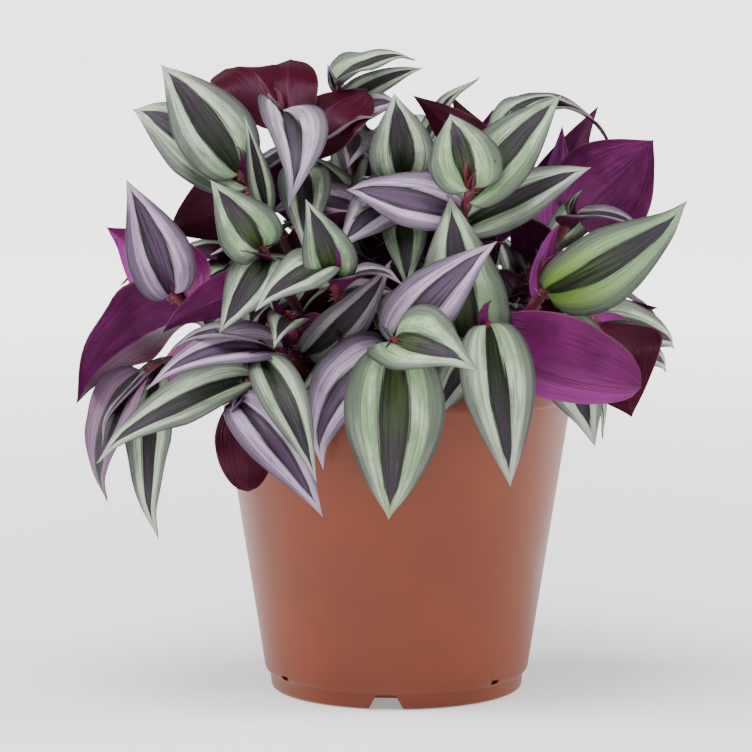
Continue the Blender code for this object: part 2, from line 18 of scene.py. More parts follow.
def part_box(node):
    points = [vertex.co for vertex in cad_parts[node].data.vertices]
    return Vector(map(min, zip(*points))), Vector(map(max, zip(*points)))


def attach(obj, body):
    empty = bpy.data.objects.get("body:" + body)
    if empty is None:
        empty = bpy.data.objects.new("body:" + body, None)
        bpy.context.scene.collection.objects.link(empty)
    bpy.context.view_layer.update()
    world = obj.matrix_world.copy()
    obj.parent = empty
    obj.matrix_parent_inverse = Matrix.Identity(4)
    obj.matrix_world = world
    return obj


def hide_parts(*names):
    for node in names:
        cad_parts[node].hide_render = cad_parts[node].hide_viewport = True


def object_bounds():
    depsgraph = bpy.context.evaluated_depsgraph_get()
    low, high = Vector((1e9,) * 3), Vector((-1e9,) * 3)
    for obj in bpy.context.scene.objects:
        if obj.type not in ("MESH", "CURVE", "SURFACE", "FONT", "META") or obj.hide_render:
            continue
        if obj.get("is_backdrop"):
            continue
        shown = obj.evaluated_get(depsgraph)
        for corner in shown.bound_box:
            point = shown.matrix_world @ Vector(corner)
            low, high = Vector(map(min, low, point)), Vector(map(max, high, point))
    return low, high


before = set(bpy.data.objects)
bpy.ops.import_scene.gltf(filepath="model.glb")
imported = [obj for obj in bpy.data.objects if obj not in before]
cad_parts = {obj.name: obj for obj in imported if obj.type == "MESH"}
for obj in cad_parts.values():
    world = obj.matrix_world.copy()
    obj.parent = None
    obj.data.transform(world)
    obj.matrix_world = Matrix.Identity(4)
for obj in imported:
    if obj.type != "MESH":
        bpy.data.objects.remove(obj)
CAD_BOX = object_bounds()
POT_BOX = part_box("pot")
AXIS = Vector(((POT_BOX[0].x + POT_BOX[1].x) / 2, (POT_BOX[0].y + POT_BOX[1].y) / 2, 0.0))
MM = 0.001

# --- pot ---
POT_HEIGHT = 106.0
RIM_RADIUS = 61.4
RIM_COLLAR = 6.5  # height of the thicker band round the top
COLLAR_STEP = 1.1  # how far the band stands out from the wall
WALL = 1.3
FOOT_RADIUS = 42.8
FOOT_HEIGHT = 6.0
FOOT_STEP = 1.9  # the body overhangs the foot by this much
FOOT_WIDTH = 2.6
FLOOR_UNDERSIDE = 3.0
FLOOR_THICKNESS = 1.4
POT_SIDES = 36
NOTCH_ANGLES = (-95.0, 85.0)  # degrees round +Z, front and back
NOTCH_HEIGHT = 5.0
NOTCH_TOP_WIDTH = 6.3
NOTCH_FOOT_WIDTH = 11.6
VENT_OFFSETS = (-52.0, 52.0)  # degrees from each notch
VENT_SIZE = (3.4, 1.5)  # width and height
DRAIN_RADIUS = 4.0
DRAIN_RING = 25.0
DRAIN_COUNT = 5

# --- soil ---
GAP = 0.3  # left between pieces that touch
SOIL_TOP = POT_HEIGHT - 12.0
SOIL_CROWN = 3.0  # the soil is this much higher in the middle
SOIL_SIDES = 28

# --- stems and leaves ---
STEM_RADIUS = 2.1
STEM_TIP_RADIUS = 1.5
STEM_SIDES = 5
STEM_STEPS = 4
ROOT_DEPTH = 13.0  # a stem stands this deep in its hole
ROOT_RING = 47.0  # no stem stands further from the middle
ROOT_SPACING = 8.0
ROOT_ROUNDS = 40  # passes that push the stems' feet apart
STRAIGHT_TOP = POT_HEIGHT - 7.0  # a stem is straight up to here
ARCH_OVER_RIM = POT_HEIGHT + 8.0  # the bend of a hanging stem is at least this high
HANGING_BELOW = POT_HEIGHT + 24.0  # a stem with its tip below this hangs over the rim
NODE_SPACING = 5.5  # between leaf bases, from the tip of the stem down
LEAF_THICKNESS = 0.7
WIDE_STATIONS = (0.0, 0.14, 0.33, 0.56, 0.79, 1.0)  # along a leaf, from base to tip
NARROW_STATIONS = (0.0, 0.17, 0.45, 0.75, 1.0)
BLUNT_STATIONS = (0.0, 0.2, 0.45, 0.7, 0.88, 0.97, 1.0)
OUTLINE_RISE = 0.45  # how a leaf's outline opens at its base
POINTED_FALL = 1.15  # how it closes at its tip
BLUNT_FALL = 0.5
WIDE_LEAF = 19.0  # leaves from this width up have the finer outline
FOLD_SPREAD = 1.1  # a folded leaf is this much wider than it shows
CUP_BASE = 38.0  # degrees each half leaf is folded up, at its base
CUP_TIP = 12.0
CUP_SPAN = 0.45  # the share of its length over which it opens out
CLEARANCE = 0.45  # a leaf keeps this far from other stems' leaves
BASE_POINTS = 6  # the points of a leaf's first station, sunk in its stem

# The way a leaf's upper face looks. A leaf that bends over backwards shows a blunt end.
FACES = {
    "front": (0.0, -1.0, 0.35),
    "front_left": (-0.7, -1.0, 0.5),
    "away": (0.0, 1.0, 0.45),
    "up": (0.0, -0.35, 1.0),
    "left": (-1.0, -0.5, 0.3),
    "slant": (0.0, -0.8, 0.8),
    "low": (0.0, -1.0, -0.3),
    "over": (0.0, 0.5, -0.86),
    "under": (0.0, 1.0, 0.45),
    "back_left": (-0.7, 0.7, 0.5),
    "back_right": (0.7, 0.7, 0.5),
}
BLUNT_FACES = ("over", "under")

# Leafy stems that hang or stand at the front. Each has the place of its tip and its
# leaves from the tip down: where the leaf ends, its width, the way its upper face looks
# and how far it arches. Heights are above the pot's rim.
FRONT_SHOOTS = [
    # the middle of the front, over the rim
    ((-1, -70, 16), [
        ((-3, -66, -40), 31, "front", 7), ((23, -96, 15), 26, "front", 3),
        ((31, -80, 50), 21, "front", 5), ((-26, -67, -23), 23, "front_left", 13),
        ((-33, -60, -1), 21, "front", 6), ((10, -58, 43), 11, "front", 3),
    ]),
    ((29, -64, 24), [
        ((36, -70, -28), 23, "front", 6), ((78, -62, 4), 29, "under", -4),
        ((11, -66, -7), 16, "front", 4), ((17, -60, 64), 28, "front", 5),
    ]),
    # the left of the front, hanging
    ((-52, -58, -3), [
        ((-24, -72, -37), 18, "front", 9), ((-48, -60, -31), 18, "under", -3),
        ((-98, -58, -20), 19, "slant", 5),
    ]),
    ((-44, -60, 11), [
        ((-26, -64, -24), 15, "front", 6), ((-72, -58, 16), 15, "up", 6),
        ((-80, -66, 4), 17, "slant", 8),
    ]),
    # standing at the front
    ((-22, -58, 42), [
        ((-45, -74, 30), 16, "slant", 4), ((-29, -66, 63), 17, "front", 3),
        ((-2, -68, 44), 14, "up", 4),
    ]),
    ((-45, -52, 48), [
        ((-59, -62, 69), 20, "front", 4), ((-57, -68, 21), 17, "front", 5),
        ((-59, -64, 47), 10, "up", 3), ((-77, -48, 20), 16, "away", 5),
    ]),
    ((48, -50, 34), [
        ((94, -50, 61), 25, "low", 5), ((51, -56, 56), 7, "away", 2),
    ]),
    ((24, -50, 67), [
        ((17, -46, 90), 23, "front", 4), ((53, -44, 96), 21, "front", 5),
        ((-17, -60, 66), 19, "slant", 6), ((63, -42, 73), 18, "front", 5),
    ]),
    # the top of the left side
    ((-52, -34, 71), [
        ((-77, -30, 106), 25, "front", 4), ((-88, -34, 92), 26, "front", 5),
        ((-76, -28, 50), 26, "away", 4), ((-49, -28, 88), 8, "front", 2),
    ]),
    ((-40, -16, 90), [
        ((-34, -46, 62), 24, "front", 8), ((-59, 14, 101), 25, "over", -11),
        ((-36, 16, 105), 19, "over", -11), ((-10, 2, 94), 24, "over", -8),
        ((-30, -42, 45), 17, "front", 4), ((-50, -22, 62), 16, "away", 3),
    ]),
    # the left side
    ((-75, -30, 31), [
        ((-88, -38, 68), 21, "front", 4), ((-95, -18, 52), 28, "away", 4),
        ((-107, -30, -4), 35, "back_left", 5), ((-62, -42, 19), 14, "up", 2),
    ]),
    ((-84, -24, 3), [
        ((-98, -30, -38), 20, "front_left", 8), ((-81, -36, -50), 20, "front_left", 5),
        ((-99, -36, -17), 11, "left", 4),
    ]),
    # the right side
    ((59, -24, 57), [
        ((84, -30, 81), 33, "back_right", 5), ((79, -34, 53), 14, "up", 4),
        ((55, -20, 84), 14, "away", 3), ((81, 6, 80), 13, "front", 3),
        ((67, 0, 91), 21, "away", 4),
    ]),
    ((66, -34, 21), [
        ((77, -44, -9), 34, "away", -4), ((95, -18, 11), 15, "front", 5),
        ((93, -22, 2), 13, "front", 6), ((64, -50, -16), 27, "front", 5),
        ((86, -26, 26), 18, "away", 3),
    ]),
    # between those, further in
    ((-36, -50, 26), [
        ((-29, -56, -7), 12, "away", 4), ((-39, -70, 18), 13, "slant", 4),
        ((-18, -58, 17), 14, "away", 4), ((-2, -46, 42), 16, "front", 4),
    ]),
    ((2, -30, 70), [
        ((-1, -34, 96), 21, "front", 4), ((-19, -54, 46), 18, "front", 5),
        ((3, -50, 33), 15, "front", 4),
    ]),
    ((34, -14, 82), [
        ((57, -12, 94), 15, "up", 5), ((73, -4, 78), 20, "up", 15),
        ((6, -2, 95), 17, "away", 4), ((20, 2, 93), 19, "away", 4),
        ((32, 8, 89), 18, "away", 4),
    ]),
    ((-21, 12, 98), [
        ((6, 14, 108), 19, "up", 3), ((9, 0, 104), 9, "front", 3),
        ((1, -6, 92), 15, "front", 4), ((-16, -6, 72), 17, "away", 3),
    ]),
]

# Rings of leafy stems round the back and in the middle: height above the rim and radius
# of the tips, the directions that the tips lie in, in degrees round +Z, and how far the
# outermost leaf rises or droops.
BACK_RINGS = [
    (10.0, 68.0, (42.0, 78.0, 114.0, 152.0), -42.0),
    (34.0, 54.0, (8.0, 52.0, 94.0, 138.0, 176.0), -14.0),
    (56.0, 40.0, (24.0, 84.0, 140.0), 6.0),
    (70.0, 20.0, (80.0,), 24.0),
    (48.0, 14.0, (-150.0,), 2.0),
]
BACK_TURNS = (0.0, 62.0, -64.0, 118.0, -122.0)  # leaves round a tip, from outward
BACK_LIFTS = (0.0, 14.0, -6.0, 30.0, 20.0)  # added to the ring's rise
BACK_LENGTHS = (36.0, 47.0)
BACK_WIDTHS = (19.0, 27.0)
BACK_SEED = 11

# What a leaf tries where it would cross another one: to end nearer or further back, to
# roll about its own midrib, and then to turn about its base or to be shorter.
DEPTHS = (0, -5, 5, -10, 10, -16, 16, 23)
ROLLS = (0, 14, -14, 28, -28)
PITCHES = (0, 7, -7, 14, -14, 21, -21, 28, -28, 36, -36, 45, -45)
YAWS = (0, 8, -8, 16, -16, 26, -26)
LENGTHS = (1.0, 0.88, 0.76)
DEPTH_COST = 0.8  # for each millimetre
ROLL_COST = 0.4  # for each degree
PITCH_COST = 1.0
YAW_COST = 1.7
SHORTENING_COST = 160.0  # for the whole length
# How much worse a place may be, to keep clear of its own stem's leaves.
FRONT_PATIENCE = 16.0
BACK_PATIENCE = 400.0


def around(radius, angle, height=0.0):
    """The point at a radius from Z and at an angle round it."""
    return Vector((radius * cos(angle), radius * sin(angle), height))


def band_faces(rows, sides):
    """The faces between one ring of points and the next."""
    faces = []
    for low in range(0, (rows - 1) * sides, sides):
        for step in range(sides):
            after = (step + 1) % sides
            faces.append((low + step, low + after, low + sides + after, low + sides + step))
    return faces


def ring_surface(profile, sides):
    """Points and faces of the surface that (radius, height) points sweep round Z."""
    points = [around(radius, 2 * pi * step / sides, height)
              for radius, height in profile for step in range(sides)]
    return points, band_faces(len(profile), sides)


def wall_radius(height):
    """Outside radius of the pot's body at a height."""
    low = FOOT_RADIUS + FOOT_STEP
    high = RIM_RADIUS - COLLAR_STEP
    return low + (high - low) * (height - FOOT_HEIGHT) / (POT_HEIGHT - FOOT_HEIGHT)


def pot_profile():
    floor = FLOOR_UNDERSIDE + FLOOR_THICKNESS
    collar = POT_HEIGHT - RIM_COLLAR
    foot_inside = FOOT_RADIUS - FOOT_WIDTH
    return [
        (0.0, FLOOR_UNDERSIDE),
        (foot_inside, FLOOR_UNDERSIDE),
        (foot_inside, 0.0),
        (FOOT_RADIUS - 0.8, 0.0),
        (FOOT_RADIUS, 0.8),
        (FOOT_RADIUS + 0.3, FOOT_HEIGHT - 1.0),
        (FOOT_RADIUS + FOOT_STEP - 0.5, FOOT_HEIGHT),
        (wall_radius(FOOT_HEIGHT + 1.0), FOOT_HEIGHT + 1.0),
        (wall_radius(collar - 0.6), collar - 0.6),
        (RIM_RADIUS - 0.4, collar + 0.4),
        (RIM_RADIUS, POT_HEIGHT - 0.8),
        (RIM_RADIUS - 0.6, POT_HEIGHT),
        (RIM_RADIUS - 1.3, POT_HEIGHT),
        (RIM_RADIUS - 1.8, POT_HEIGHT - 0.8),
        (wall_radius(collar) - WALL, collar),
        (wall_radius(floor + 3.0) - WALL, floor + 3.0),
        (wall_radius(floor) - WALL - 2.2, floor),
        (0.0, floor),
    ]


def soil_profile():
    floor = FLOOR_UNDERSIDE + FLOOR_THICKNESS
    inner = WALL + GAP + 0.15
    edge = wall_radius(SOIL_TOP) - inner
    return [
        (0.0, floor + GAP),
        (wall_radius(floor) - inner - 2.4, floor + GAP),
        (wall_radius(floor + 3.4) - inner, floor + 3.4),
        (edge, SOIL_TOP),
        (edge * 0.62, SOIL_TOP + SOIL_CROWN * 0.6),
        (edge * 0.3, SOIL_TOP + SOIL_CROWN * 0.9),
        (0.0, SOIL_TOP + SOIL_CROWN),
    ]


# --- stems ---
def root_places(tips):
    """Where the stems stand in the soil: high stems near the middle, low ones further out.

    They are then pushed apart until each has room for a hole of its own.
    """
    roots = []
    for tip in tips:
        flat = Vector((tip.x, tip.y, 0.0))
        radius = max(6.0, ROOT_RING - 0.42 * (tip.z - POT_HEIGHT))
        roots.append(flat.normalized() * min(radius, flat.length * 0.8))
    for _ in range(ROOT_ROUNDS):
        for first in range(len(roots)):
            for second in range(first + 1, len(roots)):
                apart = roots[second] - roots[first]
                short = ROOT_SPACING - apart.length
                if short > 0.0:
                    push = apart.normalized() * (short / 2)
                    roots[first] -= push
                    roots[second] += push
        for root in roots:
            if root.length > ROOT_RING:
                root *= ROOT_RING / root.length
    return roots


def stem_path(root, tip, steps):
    """The middle line of a stem: straight in the soil, then one smooth bend to its tip."""
    start = Vector((root.x, root.y, STRAIGHT_TOP))
    bend = start.lerp(tip, 0.5)
    bend.z = max(tip.z, ARCH_OVER_RIM) + 8.0 if tip.z < HANGING_BELOW else tip.z * 0.86
    line = [Vector((root.x, root.y, SOIL_TOP - ROOT_DEPTH))]
    for step in range(steps + 1):
        t = step / steps
        line.append(start * (1 - t) ** 2 + bend * (2 * t * (1 - t)) + tip * t ** 2)
    return line


def point_from_tip(line, distance):
    """The point this far down a stem from its tip."""
    for above, below in zip(reversed(line), list(reversed(line))[1:]):
        length = (below - above).length
        if distance <= length:
            return above.lerp(below, distance / length)
        distance -= length
    return line[0].copy()


def rings(line, sizes, sides):
    """Points, places and faces of a round bar whose radius changes along a line."""
    points, places = [], []
    side = Vector((1.0, 0.0, 0.0))
    last = len(line) - 1
    for index, centre in enumerate(line):
        way = (line[min(index + 1, last)] - line[max(index - 1, 0)]).normalized()
        side = (side - way * side.dot(way)).normalized()
        other = way.cross(side)
        for step in range(sides):
            angle = 2 * pi * step / sides
            out = side * cos(angle) + other * sin(angle)
            points.append(centre + out * sizes[index])
            places.append((step / sides, index / last))
    faces = band_faces(len(line), sides)
    faces.append((0, *range(sides - 1, 0, -1)))
    faces.append(tuple(range(last * sides, last * sides + sides)))
    return points, places, faces


def triangles(faces):
    """The faces split into triangles, each from its first corner."""
    return [(face[0], face[step], face[step + 1])
            for face in faces for step in range(1, len(face) - 1)]


def tube(line):
    """A plain stem in triangles."""
    last = len(line) - 1
    sizes = [STEM_RADIUS + (STEM_TIP_RADIUS - STEM_RADIUS) * (index / last)
             for index in range(last + 1)]
    points, _, faces = rings(line, sizes, STEM_SIDES)
    return points, triangles(faces)


# --- leaves ---
def half_width(u, fall):
    """The blade's outline: its half width at u from base 0 to tip 1, 1 at the widest."""
    widest = OUTLINE_RISE / (OUTLINE_RISE + fall)
    peak = widest ** OUTLINE_RISE * (1.0 - widest) ** fall
    return (u + 0.0005) ** OUTLINE_RISE * (1.0 - u) ** fall / peak


def leaf_axes(leaf):
    """From the base to the tip, the direction of that, and where the upper face looks."""
    reach = leaf["tip"] - leaf["base"]
    along = reach.normalized()
    return reach, along, (leaf["face"] - along * leaf["face"].dot(along)).normalized()


def midrib(leaf, u):
    """A point of the arched midrib, its direction there and the upward direction."""
    reach, _, normal = leaf_axes(leaf)
    middle = leaf["base"] + reach * u + normal * (leaf["arch"] * 4 * u * (1 - u))
    tangent = (reach + normal * (leaf["arch"] * 4 * (1 - 2 * u))).normalized()
    return middle, tangent, (normal - tangent * normal.dot(tangent)).normalized()


def blade_faces(rows, columns):
    """The faces of a closed blade: its upper side with the edges, and its lower side.

    Each row has the upper side's points and then the lower side's, and the tip has two.
    """
    wide = columns + 1
    last = (rows - 1) * 2 * wide
    tip = last + 2 * wide
    upper = [(last, last + wide, tip + 1, tip), (last + wide - 1, tip, tip + 1, tip - 1)]
    under = []
    for column in range(columns):
        upper.append((last + column, tip, last + column + 1))
        under.append((last + wide + column, last + wide + column + 1, tip + 1))
        under.append((column, column + 1, wide + column + 1, wide + column))
    for low in range(0, last, 2 * wide):
        high = low + 2 * wide
        upper.append((low, low + wide, high + wide, high))
        upper.append((low + wide - 1, high + wide - 1, high + 2 * wide - 1, high - 1))
        for a in range(low, low + columns):
            b, c, d = a + 1, a + 2 * wide + 1, a + 2 * wide
            upper.append((a, d, c, b))
            under.append((a + wide, b + wide, c + wide, d + wide))
    return upper, under


def blade(leaf, thickness, margin):
    """Points and triangles of one plain leaf, folded along its midrib and arched."""
    points = []
    for u in leaf["stations"]:
        middle, tangent, up = midrib(leaf, u)
        side = up.cross(tangent)
        if u == 1.0:
            end = middle + tangent * margin
            points += [end + up * thickness / 2, end - up * thickness / 2]
            break
        cup = radians(CUP_BASE + (CUP_TIP - CUP_BASE) * min(1.0, u / CUP_SPAN))
        half = leaf["width"] / 2 * half_width(u, leaf["fall"]) + margin
        row = []
        for way in (-1, 0, 1):
            turn = cup * abs(way)
            spot = middle + side * (way * half * cos(turn)) + up * (half * sin(turn))
            out = up * cos(turn) - side * (way * sin(turn))
            row.append((spot, out * (thickness / 2)))
        points += [spot + out for spot, out in row]
        points += [spot - out for spot, out in row]
    upper, under = blade_faces(len(leaf["stations"]) - 1, 2)
    return points, triangles(upper + under)


def tried_places(leaf):
    """The leaf as drawn, and then moved a little more each time, with what each move costs."""
    reach, along, normal = leaf_axes(leaf)
    side = along.cross(normal)
    tries = []
    for depth in DEPTHS:
        for roll in ROLLS:
            tries.append((DEPTH_COST * abs(depth) + ROLL_COST * abs(roll), depth, roll, 0, 0, 1.0))
    for pitch in PITCHES:
        for yaw in YAWS:
            for length in LENGTHS:
                cost = PITCH_COST * abs(pitch) + YAW_COST * abs(yaw)
                cost += SHORTENING_COST * (1 - length)
                tries.append((cost, 0, 0, pitch, yaw, length))
    for cost, depth, roll, pitch, yaw, length in sorted(tries, key=lambda item: item[0]):
        turn = (Matrix.Rotation(radians(pitch), 3, side)
                @ Matrix.Rotation(radians(yaw), 3, normal))
        moved = dict(leaf)
        moved["tip"] = leaf["base"] + (turn @ reach) * length + Vector((0.0, depth, 0.0))
        moved["face"] = turn @ Matrix.Rotation(radians(roll), 3, along) @ leaf["face"]
        yield cost, moved


def clear_place(leaf, node, placed):
    """The first tried place that is clear of other nodes, and of its own where that is near."""
    fallback = None
    fallback_cost = 0.0
    for cost, moved in tried_places(leaf):
        if fallback is not None and cost > fallback_cost + leaf["patience"]:
            break
        fat = blade(moved, LEAF_THICKNESS + 2 * CLEARANCE, CLEARANCE)
        if not placed.hit(node, *fat, keep_own_clear=True):
            return moved
        if fallback is None and not placed.hit(node, *fat):
            fallback = moved
            fallback_cost = cost
    return fallback


def box_of(points):
    """The lowest and the highest corner of the box round the points."""
    columns = list(zip(*points))
    return [min(column) for column in columns], [max(column) for column in columns]


class Obstacles:
    """What has its place already, by the node that it belongs to."""

    def __init__(self):
        self.items = []

    def add(self, node, points, faces):
        self.items.append((node, *box_of(points), BVHTree.FromPolygons(points, faces)))

    def hit(self, node, points, faces, keep_own_clear=False):
        """True where the shape meets another node, or its own past the leaf's base."""
        low, high = box_of(points)
        whole = BVHTree.FromPolygons(points, faces)
        outer = BVHTree.FromPolygons(points, [face for face in faces if min(face) >= BASE_POINTS])
        for other, other_low, other_high, other_tree in self.items:
            if any(low[a] > other_high[a] or high[a] < other_low[a] for a in range(3)):
                continue
            if other != node and whole.overlap(other_tree):
                return True
            if other == node and keep_own_clear and outer.overlap(other_tree):
                return True
        return False


def above_rim(place):
    return Vector(place) + Vector((0.0, 0.0, POT_HEIGHT))


def front_shoots():
    shoots = []
    draw = random.Random(TONE_SEED)
    for (tip, rows), tones in zip(FRONT_SHOOTS, SHOOT_TONES):
        leaves = []
        for (end, width, face, arch), letter in zip(rows, tones):
            lilac, fresh, dark = TONES[letter]
            blunt = face in BLUNT_FACES
            stations = WIDE_STATIONS if width >= WIDE_LEAF else NARROW_STATIONS
            leaves.append({
                "tip": above_rim(end),
                "width": width * FOLD_SPREAD,
                "arch": arch,
                "face": Vector(FACES[face]),
                "stations": BLUNT_STATIONS if blunt else stations,
                "fall": BLUNT_FALL if blunt else POINTED_FALL,
                "patience": FRONT_PATIENCE,
                "tone": (lilac, fresh, draw.random(), dark),
            })
        shoots.append({"tip": above_rim(tip), "leaves": leaves})
    return shoots


def spread_leaf(base, heading, slope, length, width, arch, lean, patience):
    """A leaf that a rule places: it heads some way round +Z and rises at a slope."""
    flat = around(1.0, heading)
    way = flat * cos(slope) + Vector((0, 0, sin(slope)))
    return {
        "base": base, "tip": base + way * length, "width": width, "arch": length * arch,
        "face": Vector((0, 0, 1.0)) + flat * lean, "stations": NARROW_STATIONS,
        "fall": POINTED_FALL, "patience": patience,
    }


def back_shoots():
    """Stems in rings round the back, each with leaves turned round its tip."""
    draw = random.Random(BACK_SEED)
    shoots = []
    for height, radius, directions, rise in BACK_RINGS:
        for direction in directions:
            angle = radians(direction + draw.uniform(-4, 4))
            tip = above_rim(around(1.0, angle) * (radius + draw.uniform(-4, 4)))
            tip.z += height + draw.uniform(-5, 5)
            leaves = []
            for turn, lift in zip(BACK_TURNS, BACK_LIFTS):
                heading = angle + radians(turn + draw.uniform(-10, 10))
                slope = radians(rise + lift + draw.uniform(-8, 8))
                leaves.append(spread_leaf(
                    tip, heading, slope, draw.uniform(*BACK_LENGTHS), draw.uniform(*BACK_WIDTHS),
                    0.12, 0.4, BACK_PATIENCE))
            shoots.append({"tip": tip, "leaves": leaves})
    return shoots


def place_shoots():
    """Every stem and then every leaf, each bent clear of what already has its place."""
    shoots = front_shoots() + back_shoots()
    placed = Obstacles()
    placed.add("pot", *ring_surface(pot_profile()[1:-1], POT_SIDES))
    roots = root_places([shoot["tip"] for shoot in shoots])
    for number, (shoot, root) in enumerate(zip(shoots, roots), start=1):
        shoot["name"] = f"leafy_stem_{number:02d}"
        shoot["root"] = root
        shoot["line"] = stem_path(root, shoot["tip"], STEM_STEPS)
        placed.add(shoot["name"], *tube(shoot["line"]))
    placed.add("soil", *ring_surface(soil_profile()[-4:-1], SOIL_SIDES))
    for shoot in shoots:
        shoot["placed"] = []
        for index, leaf in enumerate(shoot["leaves"]):
            leaf["base"] = point_from_tip(shoot["line"], 1.0 + index * NODE_SPACING)
            moved = clear_place(leaf, shoot["name"], placed)
            if moved is not None:
                shoot["placed"].append(moved)
                placed.add(shoot["name"], *blade(moved, LEAF_THICKNESS, 0.0))
    return shoots, placed


# --- fine pieces ---
TURN = 6.28
LEAF_ROWS = 26
LEAF_COLUMNS = 14
CROWDING = 0.35  # how far the rows crowd towards a leaf's ends
MARGIN_THICKNESS = 0.12  # each of these is half of the blade's thickness
BLADE_THICKNESS = 0.22
RIB_THICKNESS = 0.25
RIB_SPREAD = 0.9
MIDRIB_DEPTH = 0.35  # the groove over the midrib
MIDRIB_SPREAD = 0.7
WAVE_RATES = (1.2, 2.6)  # waves of a margin along the leaf
WAVE_SIZES = (0.02, 0.07)  # of its half width
BEND = 0.03  # sideways, of its length
TWIST = 9  # degrees
CURLS = (0.03, 0.09)  # of its length, at the tip
FINE_STEPS = 28
FINE_SIDES = 12
KNOT_SPACING = 16.0  # the stem is thicker at its nodes
KNOT_SWELLING = 0.14
SHEATH_STEPS = 6
SHEATH_FOOT = -4.6
SHEATH_LENGTH = 5.0
HAIR_COUNT = 14
HAIR_RADIUS = 0.09
BRACTS = {7: 3, 8: 4, 10: 2}  # at the tips of these stems
BRACT_WIDTHS = (2.8, 4.0)
BRACT_LENGTHS = (8, 14)
YOUNG_WIDTHS = (5, 6.5)
YOUNG_LENGTHS = (8, 11)
BUSH_RADIUS = 72.0
BUSH_HEIGHT = 98.0
FILLER_START = 8.0  # smaller leaves, from the stem's tip down
FILLER_STEP = 6.0
FILLER_MOST = 9
FILLER_TURN = 2.4
FILLER_LENGTHS = (24, 34)
POT_FINE_SIDES = 144
SOIL_ROWS = 26
CRUMB_COUNT = 1400
CRUMB_SIZES = (0.5, 1.7)
FLOOR_SIDES = 96
CAMERA_AIM = Vector((-0.007, 0.0, 0.106))
CAMERA_TILT = 6.2
CAMERA_DISTANCE = 1.1
SENSOR_WIDTH = 36.0
FOCAL_SHARE = 3245 / 752  # the focal length over the sensor's width
TONE_SEED = 7
UPPER, UNDER, STEM, BRACT, HAIR = range(5)
# How one leaf's colours differ from the next: lilac, fresh green (above 1, lime at the base),
# and darkness, which is painted shade for leaves in shadow, partly their own duller colour.
TONES = {
    "g": (0.15, 0.25, 0.0),  # silver and green
    "m": (0.0, 0.8, 0.0),  # mint
    "l": (0.95, 0.0, 0.0),  # lilac
    "w": (0.6, 0.0, 0.0),  # silver and purple
    "y": (0.0, 2.0, 0.0),  # lime at its base
    "d": (0.5, 0.3, 0.6),  # dull, and dark with painted shade
    "k": (0.3, 0.2, 1.0),  # maroon underneath, darkened with painted shade
    "u": (0.4, 0.3, 0.25),  # plum underneath
    "v": (1.0, 0.0, 0.0),  # magenta underneath, partly painted light shining through
    "o": (0.62, 1.0, 0.0),  # plum underneath, and a painted orchid highlight on the other side
    "p": (1.0, 0.0, 1.0),  # purple and dull, darkened with painted shade
}
# One letter for each leaf of each front shoot.
SHOOT_TONES = ("mmllmm", "gogm", "lkg", "gdl", "gmd", "mggu", "yv", "mmlg", "ggkg", "wkkkgd",
               "lvug", "pgd", "udvgd", "kgggk", "vgdd", "gwm", "gdkkd", "ggld")


def add_object(name, data):
    obj = bpy.data.objects.new(name, data)
    bpy.context.scene.collection.objects.link(obj)
    return obj


class Piece:
    """Points, faces and what the materials read, gathered for one object."""

    def __init__(self):
        self.points = []
        self.places = []  # across and along, for the UV map
        self.tones = []  # what sets one leaf's colour apart from the next
        self.faces = []
        self.surfaces = []

    def add(self, points, faces, surface=0, places=None, tone=(0, 0, 0, 1)):
        first = len(self.points)
        self.points += points
        self.places += places or [(0.0, 0.0)] * len(points)
        self.tones += [tone] * len(points)
        self.faces += [tuple(first + corner for corner in face) for face in faces]
        self.surfaces += surface if isinstance(surface, list) else [surface] * len(faces)

    def build(self, name, materials, sharp=50.0):
        mesh = bpy.data.meshes.new(name)
        mesh.from_pydata([Vector(point) * MM + AXIS for point in self.points], [], self.faces)
        for made in materials:
            mesh.materials.append(made)
        mesh.polygons.foreach_set("material_index", self.surfaces)
        layer = mesh.uv_layers.new(name="blade")
        corners = [0] * len(mesh.loops)
        mesh.loops.foreach_get("vertex_index", corners)
        flat = [value for corner in corners for value in self.places[corner]]
        layer.data.foreach_set("uv", flat)
        tone = mesh.color_attributes.new("tone", "FLOAT_COLOR", "POINT")
        tone.data.foreach_set("color", [value for row in self.tones for value in row])
        mesh.update()
        mesh.shade_smooth()
        mesh.set_sharp_from_angle(angle=radians(sharp))
        return add_object(name, mesh)


def smooth(low, high, value):
    t = min(1.0, max(0.0, (value - low) / (high - low)))
    return t * t * (3 - 2 * t)


